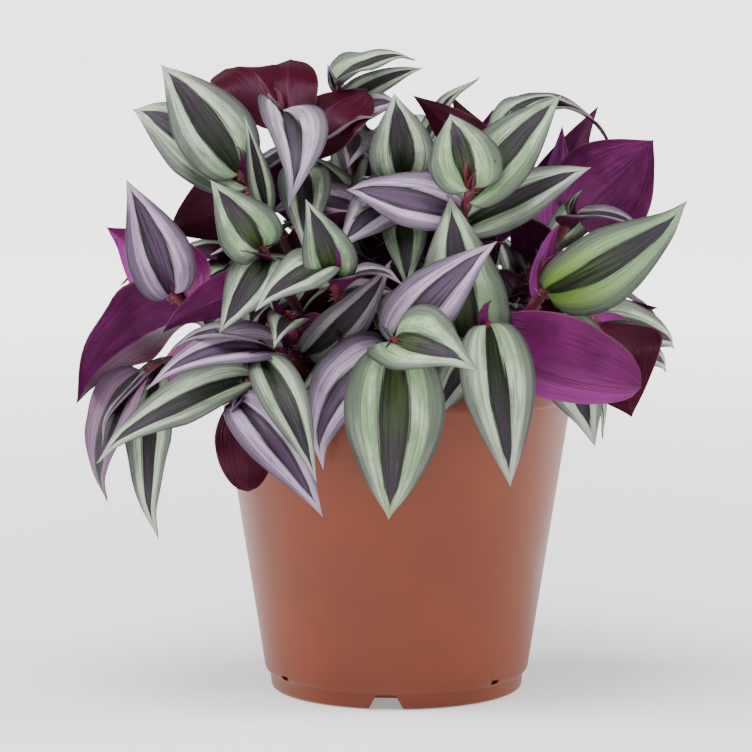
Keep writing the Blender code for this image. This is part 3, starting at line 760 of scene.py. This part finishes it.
def fine_leaf(piece, leaf, draw):
    """One leaf: a thin closed blade with a sunk midrib, waved margins and a drawn-out tip."""
    reach, _, normal = leaf_axes(leaf)
    length = reach.length
    cup_base = leaf.get("cup_base", CUP_BASE)
    cup_tip = leaf.get("cup_tip", CUP_TIP)
    waves = [(draw.uniform(*WAVE_RATES), draw.uniform(0, TURN), draw.uniform(*WAVE_SIZES))
             for _ in (0, 1)]
    bend = draw.uniform(-BEND, BEND) * length
    twist = radians(draw.uniform(-TWIST, TWIST))
    curl = draw.uniform(*CURLS) * length
    seed = draw.uniform(0, 90)
    points, places = [], []
    for row in range(LEAF_ROWS + 1):
        u = row / LEAF_ROWS
        u = u * (1 - CROWDING) + CROWDING * (0.5 - 0.5 * cos(pi * u))
        middle, tangent, up = midrib(leaf, u)
        up = Matrix.Rotation(twist * smooth(0.2, 1.0, u), 3, tangent) @ up
        side = up.cross(tangent)
        middle += side * (bend * u * (1 - u) * 4)
        middle += leaf.get("shift", Vector((0, 0, 0))) * (1 - u) ** 3
        middle -= normal * (curl * smooth(0.75, 1.0, u) ** 2)
        if row == LEAF_ROWS:
            points += [middle + up * MARGIN_THICKNESS, middle - up * MARGIN_THICKNESS]
            places += [(0.5, 1.0), (0.5, 1.0)]
            break
        cup = radians(cup_base + (cup_tip - cup_base) * min(1.0, u / CUP_SPAN))
        half = leaf["width"] / 2 * half_width(u, leaf.get("fall", POINTED_FALL))
        top, under = [], []
        for column in range(LEAF_COLUMNS + 1):
            v = 2 * column / LEAF_COLUMNS - 1
            s = abs(v)
            rate, phase, size = waves[0 if v < 0 else 1]
            lift = half * sin(cup) * (1.35 * s - 0.35 * s * s)
            lift += half * size * sin(TURN * rate * u + phase) * s * s * smooth(0.05, 0.3, u)
            lift -= MIDRIB_DEPTH * exp(-(s * half / MIDRIB_SPREAD) ** 2) * (1 - u)
            bumps = noise.noise(Vector((v * 2.2, u * 4.0, seed)))
            lift += 0.5 * bumps * s * smooth(1.0, 0.7, u) * smooth(0, 0.15, u)
            spot = middle + side * (v * half * cos(cup)) + up * lift
            thick = MARGIN_THICKNESS + BLADE_THICKNESS * (1 - s * s)
            thick += RIB_THICKNESS * exp(-(s * half / RIB_SPREAD) ** 2) * (1 - u)
            turn = cup * s
            out = up * cos(turn) - side * ((1 if v > 0 else -1) * sin(turn))
            top.append(spot + out * thick)
            under.append(spot - out * thick)
        points += top + under
        places += [(column / LEAF_COLUMNS, u) for column in range(LEAF_COLUMNS + 1)] * 2
    upper, under = blade_faces(LEAF_ROWS, LEAF_COLUMNS)
    surfaces = [UPPER] * len(upper) + [UNDER] * len(under)
    if leaf.get("surface") is not None:
        surfaces = leaf["surface"]
    piece.add(points, upper + under, surfaces, places, leaf["tone"])


def fine_stem(piece, shoot, draw):
    """The stem, thicker at its nodes. Gives back its middle line."""
    line = stem_path(shoot["root"], shoot["tip"], FINE_STEPS)
    line.insert(1, line[1] - Vector((0, 0, 4.0)))
    lengths = [(b - a).length for a, b in zip(line, line[1:])]
    total = sum(lengths)
    sizes = []
    gone = 0.0
    for length in [0.0, *lengths]:
        gone += length
        size = STEM_RADIUS + (STEM_TIP_RADIUS - STEM_RADIUS) * (gone / total)
        knot = max(0.0, cos(2 * pi * (total - gone) / KNOT_SPACING)) ** 8
        sizes.append(size * (1.0 + KNOT_SWELLING * knot))
    sizes[-1] *= 0.7
    tone = (draw.random(), draw.random(), draw.random(), 1.0)
    points, places, faces = rings(line, sizes, FINE_SIDES)
    piece.add(points, faces, STEM, places, tone)
    return line


def nearest(line, place):
    """The nearest point of a line to a place."""
    best = None
    for a, b in zip(line, line[1:]):
        way = b - a
        t = min(1.0, max(0.0, (place - a).dot(way) / way.length_squared))
        spot = a + way * t
        if best is None or (spot - place).length < best[0]:
            best = ((spot - place).length, spot, way.normalized())
    return best[1], best[2]


def sheath(piece, spot, way, towards, dark, draw):
    """The sleeve that a leaf's base wraps round the stem below it."""
    line, sizes = [], []
    for step in range(SHEATH_STEPS + 1):
        t = step / SHEATH_STEPS
        line.append(spot + way * (SHEATH_FOOT + SHEATH_LENGTH * t) + towards * (0.7 * t * t))
        sizes.append(1.65 + 0.35 * smooth(0.0, 0.6, t) - 0.4 * smooth(0.75, 1.0, t))
    points, places, faces = rings(line, sizes, FINE_SIDES)
    # Painted shade: the sheath of a leaf inside the foliage is darker.
    tone = (draw.random(), draw.random(), draw.random(), dark)
    piece.add(points, faces, BRACT, places, tone)


def hairs(piece, spot, way, draw):
    """Pale hairs round the mouth of a sheath."""
    side = way.orthogonal().normalized()
    for index in range(HAIR_COUNT):
        turn = 2 * pi * (index + draw.random()) / HAIR_COUNT
        out = Matrix.Rotation(turn, 3, way) @ side
        root = spot + out * draw.uniform(1.2, 1.7) - way * draw.uniform(0.2, 2.5)
        lean = (out + way * draw.uniform(-0.2, 0.9)).normalized()
        end = root + lean * draw.uniform(1.4, 2.8)
        across = (end - root).cross(way).normalized() * HAIR_RADIUS
        lift = (end - root).cross(across).normalized() * HAIR_RADIUS
        points = [root + across, root - across * 0.5 + lift, root - across * 0.5 - lift, end]
        faces = [(0, 2, 1), (0, 1, 3), (1, 2, 3), (2, 0, 3)]
        piece.add(points, faces, HAIR, [(0.5, 0.5)] * 4)


def young_leaves(piece, shoot, draw):
    """The rolled leaf at the end of a stem, and the bracts where it is about to flower."""
    line = shoot["fine"]
    way = (line[-1] - line[-4]).normalized()
    for index in range(1 + shoot["bracts"]):
        lean = Vector((draw.uniform(-1, 1), draw.uniform(-1, 0.4), draw.uniform(0.1, 1)))
        lean.normalize()
        width = draw.uniform(*(BRACT_WIDTHS if index else YOUNG_WIDTHS))
        size = draw.uniform(*(BRACT_LENGTHS if index else YOUNG_LENGTHS))
        fine_leaf(piece, {
            "base": line[-1] - way * 1.5,
            "tip": line[-1] + (way * 0.9 + lean * 0.7).normalized() * size,
            "face": lean, "arch": 0.8, "cup_base": 66.0, "cup_tip": 48.0, "width": width,
            "surface": BRACT if index else None,
            "tone": (draw.random(), 0.3, draw.random(), 0.2),
        }, draw)


def inside_bush(place):
    """True where a leaf's end is well inside the foliage."""
    height = place.z - POT_HEIGHT
    share = (hypot(place.x, place.y) / BUSH_RADIUS) ** 2 + (height / BUSH_HEIGHT) ** 2
    return share < 0.9 and height > -4.0 and place.y > -46.0


def filler_leaves(shoot, placed, draw):
    """Smaller leaves lower down the stem, wherever there is room for them."""
    found = []
    total = sum((b - a).length for a, b in zip(shoot["line"], shoot["line"][1:]))
    distance = FILLER_START
    turn = draw.uniform(0, TURN)
    while distance < total - ROOT_DEPTH - FILLER_START and len(found) < FILLER_MOST:
        turn += FILLER_TURN
        slope = draw.uniform(-0.1, 0.7)
        length = draw.uniform(*FILLER_LENGTHS)
        leaf = spread_leaf(point_from_tip(shoot["line"], distance), turn, slope, length,
                           length * draw.uniform(0.5, 0.6), 0.1, 0.3, 0.0)
        # Painted shade on inner filler leaves and their sheaths, partly older leaves' darker
        # colour.
        leaf["hidden"] = 0.8
        moved = clear_place(leaf, shoot["name"], placed)
        tone = (draw.random() * 0.5, draw.random() * 0.6, draw.random(), draw.uniform(0.45, 0.85))
        if moved is not None and inside_bush(moved["tip"]):
            moved["tone"] = tone
            found.append(moved)
            placed.add(shoot["name"], *blade(moved, LEAF_THICKNESS, 0.0))
        distance += FILLER_STEP
    return found


# --- materials ---
class Net:
    """A short way to write a material's nodes."""

    def __init__(self, name):
        self.material = bpy.data.materials.new(name)
        self.material.use_nodes = True
        self.tree = self.material.node_tree
        self.shader = self.tree.nodes["Principled BSDF"]

    def put(self, socket, value):
        if isinstance(value, bpy.types.NodeSocket):
            self.tree.links.new(value, socket)
        elif isinstance(value, tuple) and socket.type == "RGBA":
            socket.default_value = (*value[:3], 1.0)
        else:
            socket.default_value = value

    def node(self, kind, inputs=(), **settings):
        made = self.tree.nodes.new("ShaderNode" + kind)
        for key, value in settings.items():
            setattr(made, key, value)
        for key, value in dict(inputs).items():
            self.put(made.inputs[key], value)
        return made

    def math(self, operation, first, second=0.0, third=0.0):
        made = self.node("Math", {0: first, 1: second, 2: third}, operation=operation)
        return made.outputs[0]

    def times(self, first, second):
        return self.math("MULTIPLY", first, second)

    def line(self, value, slope, start):
        return self.math("MULTIPLY_ADD", value, slope, start)

    def mix(self, share, first, second):
        return self.node("Mix", {0: share, 6: first, 7: second}, data_type="RGBA").outputs[2]

    def ramp(self, value, low, high, start=0.0, end=1.0):
        return self.node("MapRange", {"Value": value, "From Min": low, "From Max": high,
                                      "To Min": start, "To Max": end},
                         interpolation_type="SMOOTHSTEP").outputs[0]

    def coats(self, colour, *rows):
        """The colour under one tint after another, each as strong as its ramp says."""
        for tint, *ramp in rows:
            colour = self.mix(self.ramp(*ramp), colour, tint)
        return colour

    def noise(self, vector, scale, detail=2.0, roughness=0.5):
        return self.node("TexNoise", {"Vector": vector, "Scale": scale, "Detail": detail,
                                      "Roughness": roughness}).outputs["Fac"]

    def place(self):
        return self.node("NewGeometry").outputs["Position"]

    def bump(self, height, strength, distance):
        return self.node("Bump", {"Height": height, "Strength": strength,
                                  "Distance": distance}).outputs[0]

    def finish(self, **inputs):
        for key, value in inputs.items():
            self.put(self.shader.inputs[key.replace("_", " ")], value)
        return self.material


def srgb(*colour):
    """A colour given as it looks, turned into the linear values that shaders use."""
    return tuple(((c / 255 + 0.055) / 1.055) ** 2.4 if c > 10 else c / 255 / 12.92 for c in colour)


PALE_GREEN = srgb(184, 200, 172)
PALE_LILAC = srgb(192, 170, 198)
FRESH_GREEN = srgb(110, 150, 94)
DUSK_LILAC = srgb(124, 96, 134)
VEIN_GREEN = srgb(84, 104, 80)
VEIN_PURPLE = srgb(98, 76, 106)
LIME = srgb(112, 146, 62)
HEART_GREEN = srgb(34, 44, 24)
HEART_PURPLE = srgb(46, 32, 48)
HEART_LILAC = srgb(78, 56, 84)
HEART_OLIVE = srgb(66, 82, 40)
STRIPE_EDGE = srgb(15, 20, 13)
HAZE = srgb(78, 62, 84)
HAZE_GREEN = srgb(70, 76, 70)
RIM = srgb(34, 28, 34)
# Painted shade colours, for leaves that lie in shadow.
SHADE_PALE = srgb(58, 66, 58)
SHADE_LILAC = srgb(86, 54, 78)
SHADE_DEEP = srgb(24, 22, 26)
PLUM = srgb(60, 5, 46)
PLUM_BRIGHT = srgb(90, 15, 76)
MAGENTA = srgb(120, 22, 100)
ORCHID_HIGHLIGHT = srgb(150, 56, 140)
MAROON = srgb(54, 2, 20)
UNDER_RIM = srgb(120, 74, 74)


def leaf_places(net):
    """Across, along, the distance from the midrib and the leaf's own tones."""
    split = net.node("SeparateXYZ", {0: net.node("UVMap", uv_map="blade").outputs[0]})
    across, along = split.outputs[0], split.outputs[1]
    own = net.node("Attribute", attribute_name="tone")
    tone = net.node("SeparateColor", {0: own.outputs["Color"]}).outputs
    seed = net.times(tone[2], 37.0)

    def streaks(wide, long, detail, roughness):
        vector = net.node("CombineXYZ", {"X": net.times(across, wide), "Y": net.times(along, long),
                                         "Z": seed}).outputs[0]
        return net.noise(vector, 1.0, detail, roughness)

    return {
        "across": across,
        "along": along,
        "away": net.math("ABSOLUTE", net.line(across, 2.0, -1.0)),
        "lilac": tone[0],
        "fresh": tone[1],
        "own": tone[2],
        "dark": own.outputs["Alpha"],
        "streaks": streaks(52.0, 2.6, 4.0, 0.65),
        "veins": streaks(19.0, 1.3, 3.0, 0.6),
        "clouds": streaks(5.0, 4.0, 4.0, 0.6),
    }


def leaf_bump(net, leaf, strength):
    grain = net.noise(net.place(), 2400.0)
    height = net.line(grain, 0.3, leaf["streaks"])
    return net.bump(net.line(leaf["veins"], 1.6, height), strength, 0.0004)


def upper_material():
    """Two pale stripes on a dark blade, feathered, veined, and hazy towards the margins."""
    net = Net("leaf_upper")
    leaf = leaf_places(net)
    along, away, fresh, lilac = leaf["along"], leaf["away"], leaf["fresh"], leaf["lilac"]
    streaks, clouds, veins = leaf["streaks"], leaf["clouds"], leaf["veins"]
    feather = net.line(streaks, 0.34, -0.17)
    own = net.line(leaf["own"], 0.14, -0.05)
    edge = net.math("SUBTRACT", net.ramp(along, 0.0, 0.5, 0.24, 0.34),
                    net.ramp(along, 0.75, 0.99, 0.0, 0.42))
    inside = net.math("SUBTRACT", net.math("ADD", away, feather), net.math("ADD", edge, own))
    stripe = net.ramp(inside, -0.035, 0.045, 1.0, 0.0)
    rim_at = net.line(feather, 0.8, away)
    haze = net.times(net.ramp(rim_at, 0.54, 0.84), net.ramp(along, 1.0, 0.7, 0.2, 1.0))
    rim = net.ramp(rim_at, 0.88, 0.98, 0.0, 0.7)
    tint = net.line(clouds, 0.7, net.line(lilac, 0.85, -0.4))
    tint = net.ramp(net.line(along, 0.22, tint), 0.05, 0.8)
    pale = net.mix(tint, PALE_GREEN, PALE_LILAC)
    green = net.mix(tint, FRESH_GREEN, DUSK_LILAC)
    base = net.line(along, -0.2, net.line(fresh, 0.22, clouds))
    pale = net.mix(net.ramp(base, 0.40, 0.68, 0.0, 0.8), pale, green)
    vein = net.mix(tint, VEIN_GREEN, VEIN_PURPLE)
    pale = net.coats(pale, (vein, veins, 0.5, 0.64, 0.0, 0.6),
                     (vein, streaks, 0.46, 0.68, 0.0, 0.6))
    lime = net.times(net.ramp(fresh, 1.0, 2.0), net.ramp(along, 0.55, 0.1))
    pale = net.mix(lime, pale, LIME)
    heart = net.coats(HEART_GREEN, (HEART_PURPLE, along, 0.1, 0.75), (HEART_LILAC, lilac, 0.2, 1.0))
    olive = net.times(net.ramp(fresh, 0.2, 0.8), net.ramp(along, 0.6, 0.2, 0.0, 0.8))
    heart = net.mix(olive, heart, HEART_OLIVE)
    deep = net.coats(STRIPE_EDGE, (heart, inside, -0.03, -0.2),
                     (STRIPE_EDGE, veins, 0.52, 0.64, 0.0, 0.7),
                     (vein, streaks, 0.42, 0.28, 0.0, 0.6))
    colour = net.mix(stripe, pale, deep)
    colour = net.mix(net.times(haze, 0.85), colour, net.mix(tint, HAZE_GREEN, HAZE))
    colour = net.mix(rim, colour, RIM)
    # Painted shade: the tone's darkness pulls the leaf towards the shade colours.
    shade = net.mix(stripe, net.mix(tint, SHADE_PALE, SHADE_LILAC), SHADE_DEEP)
    colour = net.mix(net.times(leaf["dark"], 0.8), colour, shade)
    return net.finish(Base_Color=colour, Roughness=net.ramp(streaks, 0.2, 0.8, 0.34, 0.5),
                      Normal=leaf_bump(net, leaf, 0.9), Specular_IOR_Level=0.3)


def under_material():
    """Plum to magenta, a painted orchid highlight along one side where the tones ask for it,
    with dark veins.
    """
    net = Net("leaf_underside")
    leaf = leaf_places(net)
    streaks, clouds, lilac = leaf["streaks"], leaf["clouds"], leaf["lilac"]
    # Partly painted light: a high lilac tone brightens the plum to magenta, as if lit through.
    colour = net.coats(PLUM, (PLUM_BRIGHT, clouds, 0.3, 0.7), (MAGENTA, lilac, 0.5, 1.0))
    # Painted highlight: orchid along one side of the underside, where the tones ask for it.
    side = net.math("ABSOLUTE", net.math("SUBTRACT", leaf["across"], leaf["fresh"]))
    side = net.ramp(net.line(clouds, 0.6, side), 0.85, 0.45)
    colour = net.mix(net.times(side, net.ramp(lilac, 0.3, 1.0)), colour, ORCHID_HIGHLIGHT)
    # Painted shade: the tone's darkness turns the underside maroon; the rest are its own marks.
    colour = net.coats(
        colour, (MAROON, leaf["dark"], 0.2, 1.0), (MAROON, leaf["veins"], 0.5, 0.68, 0.0, 0.5),
        (MAROON, streaks, 0.48, 0.75, 0.0, 0.5), (MAGENTA, leaf["away"], 0.07, 0.0, 0.0, 0.18),
        (UNDER_RIM, leaf["away"], 0.95, 0.99, 0.0, 0.5))
    return net.finish(Base_Color=colour, Roughness=net.ramp(streaks, 0.2, 0.8, 0.32, 0.44),
                      Normal=leaf_bump(net, leaf, 0.8), Specular_IOR_Level=0.2,
                      Specular_Tint=(1.0, 0.6, 0.95))


def stem_material():
    net = Net("stem_skin")
    leaf = leaf_places(net)
    colour = net.coats(srgb(62, 18, 26), (srgb(58, 38, 28), leaf["clouds"], 0.35, 0.7),
                       (srgb(92, 32, 42), leaf["streaks"], 0.45, 0.75, 0.0, 0.6),
                       (srgb(120, 34, 50), leaf["along"], 0.8, 0.95))
    return net.finish(Base_Color=colour, Roughness=0.4, Normal=leaf_bump(net, leaf, 0.3),
                      Specular_IOR_Level=0.3)


def bract_material():
    net = Net("sheath_and_bud")
    leaf = leaf_places(net)
    colour = net.coats(srgb(94, 20, 42), (srgb(88, 38, 50), leaf["lilac"], 0.3, 0.9),
                       (srgb(112, 62, 70), leaf["streaks"], 0.45, 0.7, 0.0, 0.7))
    # Painted shade: the tone's darkness, set for sheaths inside the foliage, darkens the colour.
    colour = net.mix(leaf["dark"], colour, srgb(58, 24, 30))
    return net.finish(Base_Color=colour, Roughness=0.45, Normal=leaf_bump(net, leaf, 0.4),
                      Specular_IOR_Level=0.3)


def hair_material():
    net = Net("pale_hair")
    colour = net.mix(leaf_places(net)["clouds"], srgb(178, 150, 142), srgb(196, 178, 168))
    return net.finish(Base_Color=colour, Roughness=0.5)


def pot_material():
    net = Net("pot_plastic")
    place = net.place()
    blotches = net.noise(place, 30.0, 3.0)
    grain = net.noise(place, 3200.0)
    tall = net.node("Mapping", {"Vector": place, "Scale": (1.0, 1.0, 0.08)}).outputs[0]
    scuffs = net.noise(tall, 900.0)
    colour = net.coats(srgb(101, 42, 18), (srgb(109, 47, 21), blotches, 0.3, 0.7),
                       (srgb(128, 66, 40), scuffs, 0.62, 0.8, 0.0, 0.15))
    return net.finish(Base_Color=colour, Roughness=net.ramp(blotches, 0.3, 0.7, 0.36, 0.44),
                      Normal=net.bump(net.line(scuffs, 0.4, grain), 0.12, 0.0002),
                      Specular_IOR_Level=0.3)


def soil_material():
    net = Net("potting_soil")
    lumps = net.noise(net.place(), 260.0, 4.0, 0.65)
    fibres = net.noise(net.place(), 900.0, 3.0)
    colour = net.coats(srgb(34, 24, 18), (srgb(78, 56, 40), lumps, 0.35, 0.7),
                       (srgb(112, 84, 58), fibres, 0.6, 0.75, 0.0, 0.6))
    return net.finish(Base_Color=colour, Roughness=0.95, Normal=net.bump(lumps, 0.7, 0.001))


def floor_material():
    """Pale, and brighter far away, so that it runs into the background without an edge."""
    net = Net("studio_floor")
    away = net.node("VectorMath", {0: net.place()}, operation="LENGTH").outputs["Value"]
    return net.finish(Base_Color=(0.86, 0.86, 0.86), Roughness=0.7, Emission_Color=(1.0, 1.0, 1.0),
                      Emission_Strength=net.ramp(away, 0.0, 1.6, 0.35, SKY_SEEN))


# --- pot and soil ---
def rounded(profile, radius=0.45):
    """The profile with its corners cut back, so that edges catch the light."""
    made = [profile[0]]
    for before, here, after in zip(profile, profile[1:], profile[2:]):
        a, b, c = Vector(before), Vector(here), Vector(after)
        for end in (a, c):
            cut = min(radius, (end - b).length * 0.3)
            made.append(tuple(b + (end - b).normalized() * cut))
    made.append(profile[-1])
    return made


def turned_piece(profile, sides):
    points, faces = ring_surface(profile[1:-1], sides)
    foot = len(points)
    top = foot - sides
    points += [Vector((0, 0, profile[0][1])), Vector((0, 0, profile[-1][1]))]
    for step in range(sides):
        after = (step + 1) % sides
        faces.append((foot, after, step))
        faces.append((top + step, top + after, foot + 1))
    piece = Piece()
    piece.add(points, faces)
    return piece


def slot_cutter(angle, rows, depth, surface):
    """A block across the wall: (half width, height) rows, from one radius to another."""
    turn = Matrix.Rotation(radians(angle), 4, "Z")
    piece = Piece()
    points = [turn @ Vector((radius, side * half, height))
              for radius in depth for half, height in rows for side in (-1, 1)]
    faces = [(0, 2, 3, 1), (4, 5, 7, 6), (0, 1, 5, 4), (2, 6, 7, 3), (0, 4, 6, 2), (1, 3, 7, 5)]
    piece.add(points, faces)
    return piece.build("cutter", [surface])


def build_pot(surface):
    pot = turned_piece(rounded(pot_profile()), POT_FINE_SIDES).build("nursery_pot", [surface], 40.0)
    cutters = []
    foot = NOTCH_FOOT_WIDTH / 2 + (NOTCH_FOOT_WIDTH - NOTCH_TOP_WIDTH) / 2 / NOTCH_HEIGHT
    notch = ((foot, -1.0), (NOTCH_TOP_WIDTH / 2, NOTCH_HEIGHT))
    half = VENT_SIZE[0] / 2
    vent = ((half, FOOT_HEIGHT), (half, FOOT_HEIGHT + VENT_SIZE[1]))
    for angle in NOTCH_ANGLES:
        depth = (FOOT_RADIUS - FOOT_WIDTH - 2.0, FOOT_RADIUS + 1.2)
        cutters.append(slot_cutter(angle, notch, depth, surface))
        for offset in VENT_OFFSETS:
            depth = (FOOT_RADIUS - 2.5, FOOT_RADIUS + 4.0)
            cutters.append(slot_cutter(angle + offset, vent, depth, surface))
    for index in range(DRAIN_COUNT):
        angle = 2 * pi * index / DRAIN_COUNT
        middle = around(DRAIN_RING, angle)
        hole = turned_piece([(0, 1.0), (DRAIN_RADIUS, 1.0), (DRAIN_RADIUS, 8.0), (0, 8.0)], 24)
        hole.points = [point + middle for point in hole.points]
        cutters.append(hole.build("cutter", [surface]))
    group = bpy.data.collections.new("cutters")
    for cutter in cutters:
        group.objects.link(cutter)
    boolean = pot.modifiers.new("cut", "BOOLEAN")
    boolean.operation = "DIFFERENCE"
    boolean.operand_type = "COLLECTION"
    boolean.collection = group
    boolean.solver = "EXACT"
    depsgraph = bpy.context.evaluated_depsgraph_get()
    made = bpy.data.meshes.new_from_object(pot.evaluated_get(depsgraph))
    pot.modifiers.clear()
    pot.data = made
    for cutter in cutters:
        bpy.data.objects.remove(cutter, do_unlink=True)
    pot.data.set_sharp_from_angle(angle=radians(40.0))
    return pot


def build_soil(surface):
    """The soil with a crumbly top: crumbs lie on it, clear of the pot's wall."""
    draw = random.Random(5)
    profile = soil_profile()
    edge = profile[3][0]
    rows = [*profile[:3], (edge, SOIL_TOP)]
    for step in range(1, SOIL_ROWS):
        share = 1 - step / SOIL_ROWS
        rows.append((edge * share, SOIL_TOP + SOIL_CROWN * (1 - share * share)))
    piece = turned_piece([*rows, profile[-1]], 96)
    for point in piece.points:
        flat = hypot(point.x, point.y)
        if point.z > SOIL_TOP - 0.5 and flat < edge - 0.5:
            lumps = 1.4 * noise.noise(point * 0.16) + 0.9 * noise.noise(point * 0.5) - 0.2
            point.z += smooth(edge, edge - 4, flat) * lumps
    for _ in range(CRUMB_COUNT):
        angle = draw.uniform(0, 2 * pi)
        flat = (edge - 2.5) * sqrt(draw.random())
        size = draw.uniform(*CRUMB_SIZES)
        height = SOIL_TOP + SOIL_CROWN * (1 - (flat / edge) ** 2) + draw.uniform(-0.4, 0.5)
        centre = around(flat, angle, height)
        points = []
        for x, y, z in ((1, 0, 0), (-1, 0, 0), (0, 1, 0), (0, -1, 0), (0, 0, 1), (0, 0, -1)):
            points.append(centre + Vector((x, y, z * 0.8)) * size * draw.uniform(0.6, 1.1))
        faces = [(0, 2, 4), (2, 1, 4), (1, 3, 4), (3, 0, 4),
                 (2, 0, 5), (1, 2, 5), (3, 1, 5), (0, 3, 5)]
        piece.add(points, faces)
    return piece.build("potting_soil_crumbs", [surface], 30.0)


# --- making ---
def stand_for(obj, node):
    """The piece rides on the one body and hides the node."""
    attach(obj, "root")
    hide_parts(node)


def build_foliage():
    shoots, placed = place_shoots()
    materials = [upper_material(), under_material(), stem_material(), bract_material(),
                 hair_material()]
    fillers = random.Random(23)
    for shoot in shoots:
        shoot["extra"] = filler_leaves(shoot, placed, fillers)
    for number, shoot in enumerate(shoots, start=1):
        draw = random.Random(100 + number)
        piece = Piece()
        shoot["fine"] = fine_stem(piece, shoot, draw)
        shoot["bracts"] = BRACTS.get(number, 0)
        for leaf in shoot["placed"] + shoot["extra"]:
            spot, way = nearest(shoot["fine"], leaf["base"])
            leaf["shift"] = spot - leaf["base"]
            if "tone" not in leaf:
                # Painted shade on the sheaths of the back leaves.
                leaf["hidden"] = 0.5
                leaf["tone"] = (draw.random() ** 2, draw.uniform(0.0, 0.9), draw.random(),
                                draw.uniform(0.0, 0.3))
            fine_leaf(piece, leaf, draw)
            sheath(piece, spot, way, (leaf["tip"] - leaf["base"]).normalized(),
                   leaf.get("hidden", 0.0), draw)
            hairs(piece, spot, way, draw)
        young_leaves(piece, shoot, draw)
        stand_for(piece.build(f"fine_stem_{number:02d}", materials), shoot["name"])


FLOOR_RADIUS = 12.0
SKY_LIGHT = 0.12
HORIZON_LIGHT = 0.5
SKY_SEEN = 3.0


def area_light(name, x, y, z, power):
    """A square softbox at a place from the pot's foot, turned to the middle of the plant."""
    data = bpy.data.lights.new(name, "AREA")
    data.shape = "RECTANGLE"
    data.size = data.size_y = 0.7
    data.energy = power
    light = add_object(name, data)
    light.location = AXIS + Vector((x, y, z))
    way = AXIS + Vector((0, 0, 0.11)) - light.location
    light.rotation_euler = way.to_track_quat("-Z", "Y").to_euler()


def stage_and_light():
    mesh = bpy.data.meshes.new("floor")
    ring = [around(1.0, 2 * pi * step / FLOOR_SIDES) * FLOOR_RADIUS
            for step in range(FLOOR_SIDES)]
    mesh.from_pydata(ring, [], [tuple(range(FLOOR_SIDES))])
    mesh.materials.append(floor_material())
    floor = add_object("studio_floor", mesh)
    floor.location.z = -0.0002
    floor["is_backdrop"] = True
    # The world is bright where it is seen, and lights the plant more from the horizon.
    world = bpy.data.worlds.new("studio")
    world.use_nodes = True
    nodes = world.node_tree.nodes
    background = nodes["Background"]
    background.inputs[0].default_value = (1.0, 1.0, 1.0, 1.0)
    path, way, split, light, seen = (nodes.new("ShaderNode" + kind) for kind in (
        "LightPath", "TexCoord", "SeparateXYZ", "MapRange", "MapRange"))
    light.inputs["From Max"].default_value = 0.5
    light.inputs["To Min"].default_value = HORIZON_LIGHT
    light.inputs["To Max"].default_value = SKY_LIGHT
    seen.inputs["To Max"].default_value = SKY_SEEN
    for start, end in ((way.outputs["Generated"], split.inputs[0]),
                       (split.outputs["Z"], light.inputs["Value"]),
                       (light.outputs[0], seen.inputs["To Min"]),
                       (path.outputs["Is Camera Ray"], seen.inputs["Value"]),
                       (seen.outputs[0], background.inputs["Strength"])):
        world.node_tree.links.new(start, end)
    bpy.context.scene.world = world
    area_light("left_softbox", -1.15, -0.05, 0.65, 24.0)
    area_light("right_softbox", 1.15, 0.0, 0.65, 20.0)
    area_light("top_softbox", -0.15, -0.45, 1.2, 19.0)


def add_camera():
    tilt = radians(CAMERA_TILT)
    data = bpy.data.cameras.new("camera")
    data.sensor_width = SENSOR_WIDTH
    data.lens = SENSOR_WIDTH * FOCAL_SHARE
    camera = add_object("camera", data)
    way = Vector((0.0, -cos(tilt), sin(tilt)))
    camera.location = AXIS + CAMERA_AIM + way * CAMERA_DISTANCE
    camera.rotation_euler = (-way).to_track_quat("-Z", "Y").to_euler()
    bpy.context.scene.camera = camera


add_camera()
stage_and_light()
build_foliage()
stand_for(build_pot(pot_material()), "pot")
stand_for(build_soil(soil_material()), "soil")
for low, high in (CAD_BOX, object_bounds()):
    json.dumps([list(low), list(high)]) + "\n"
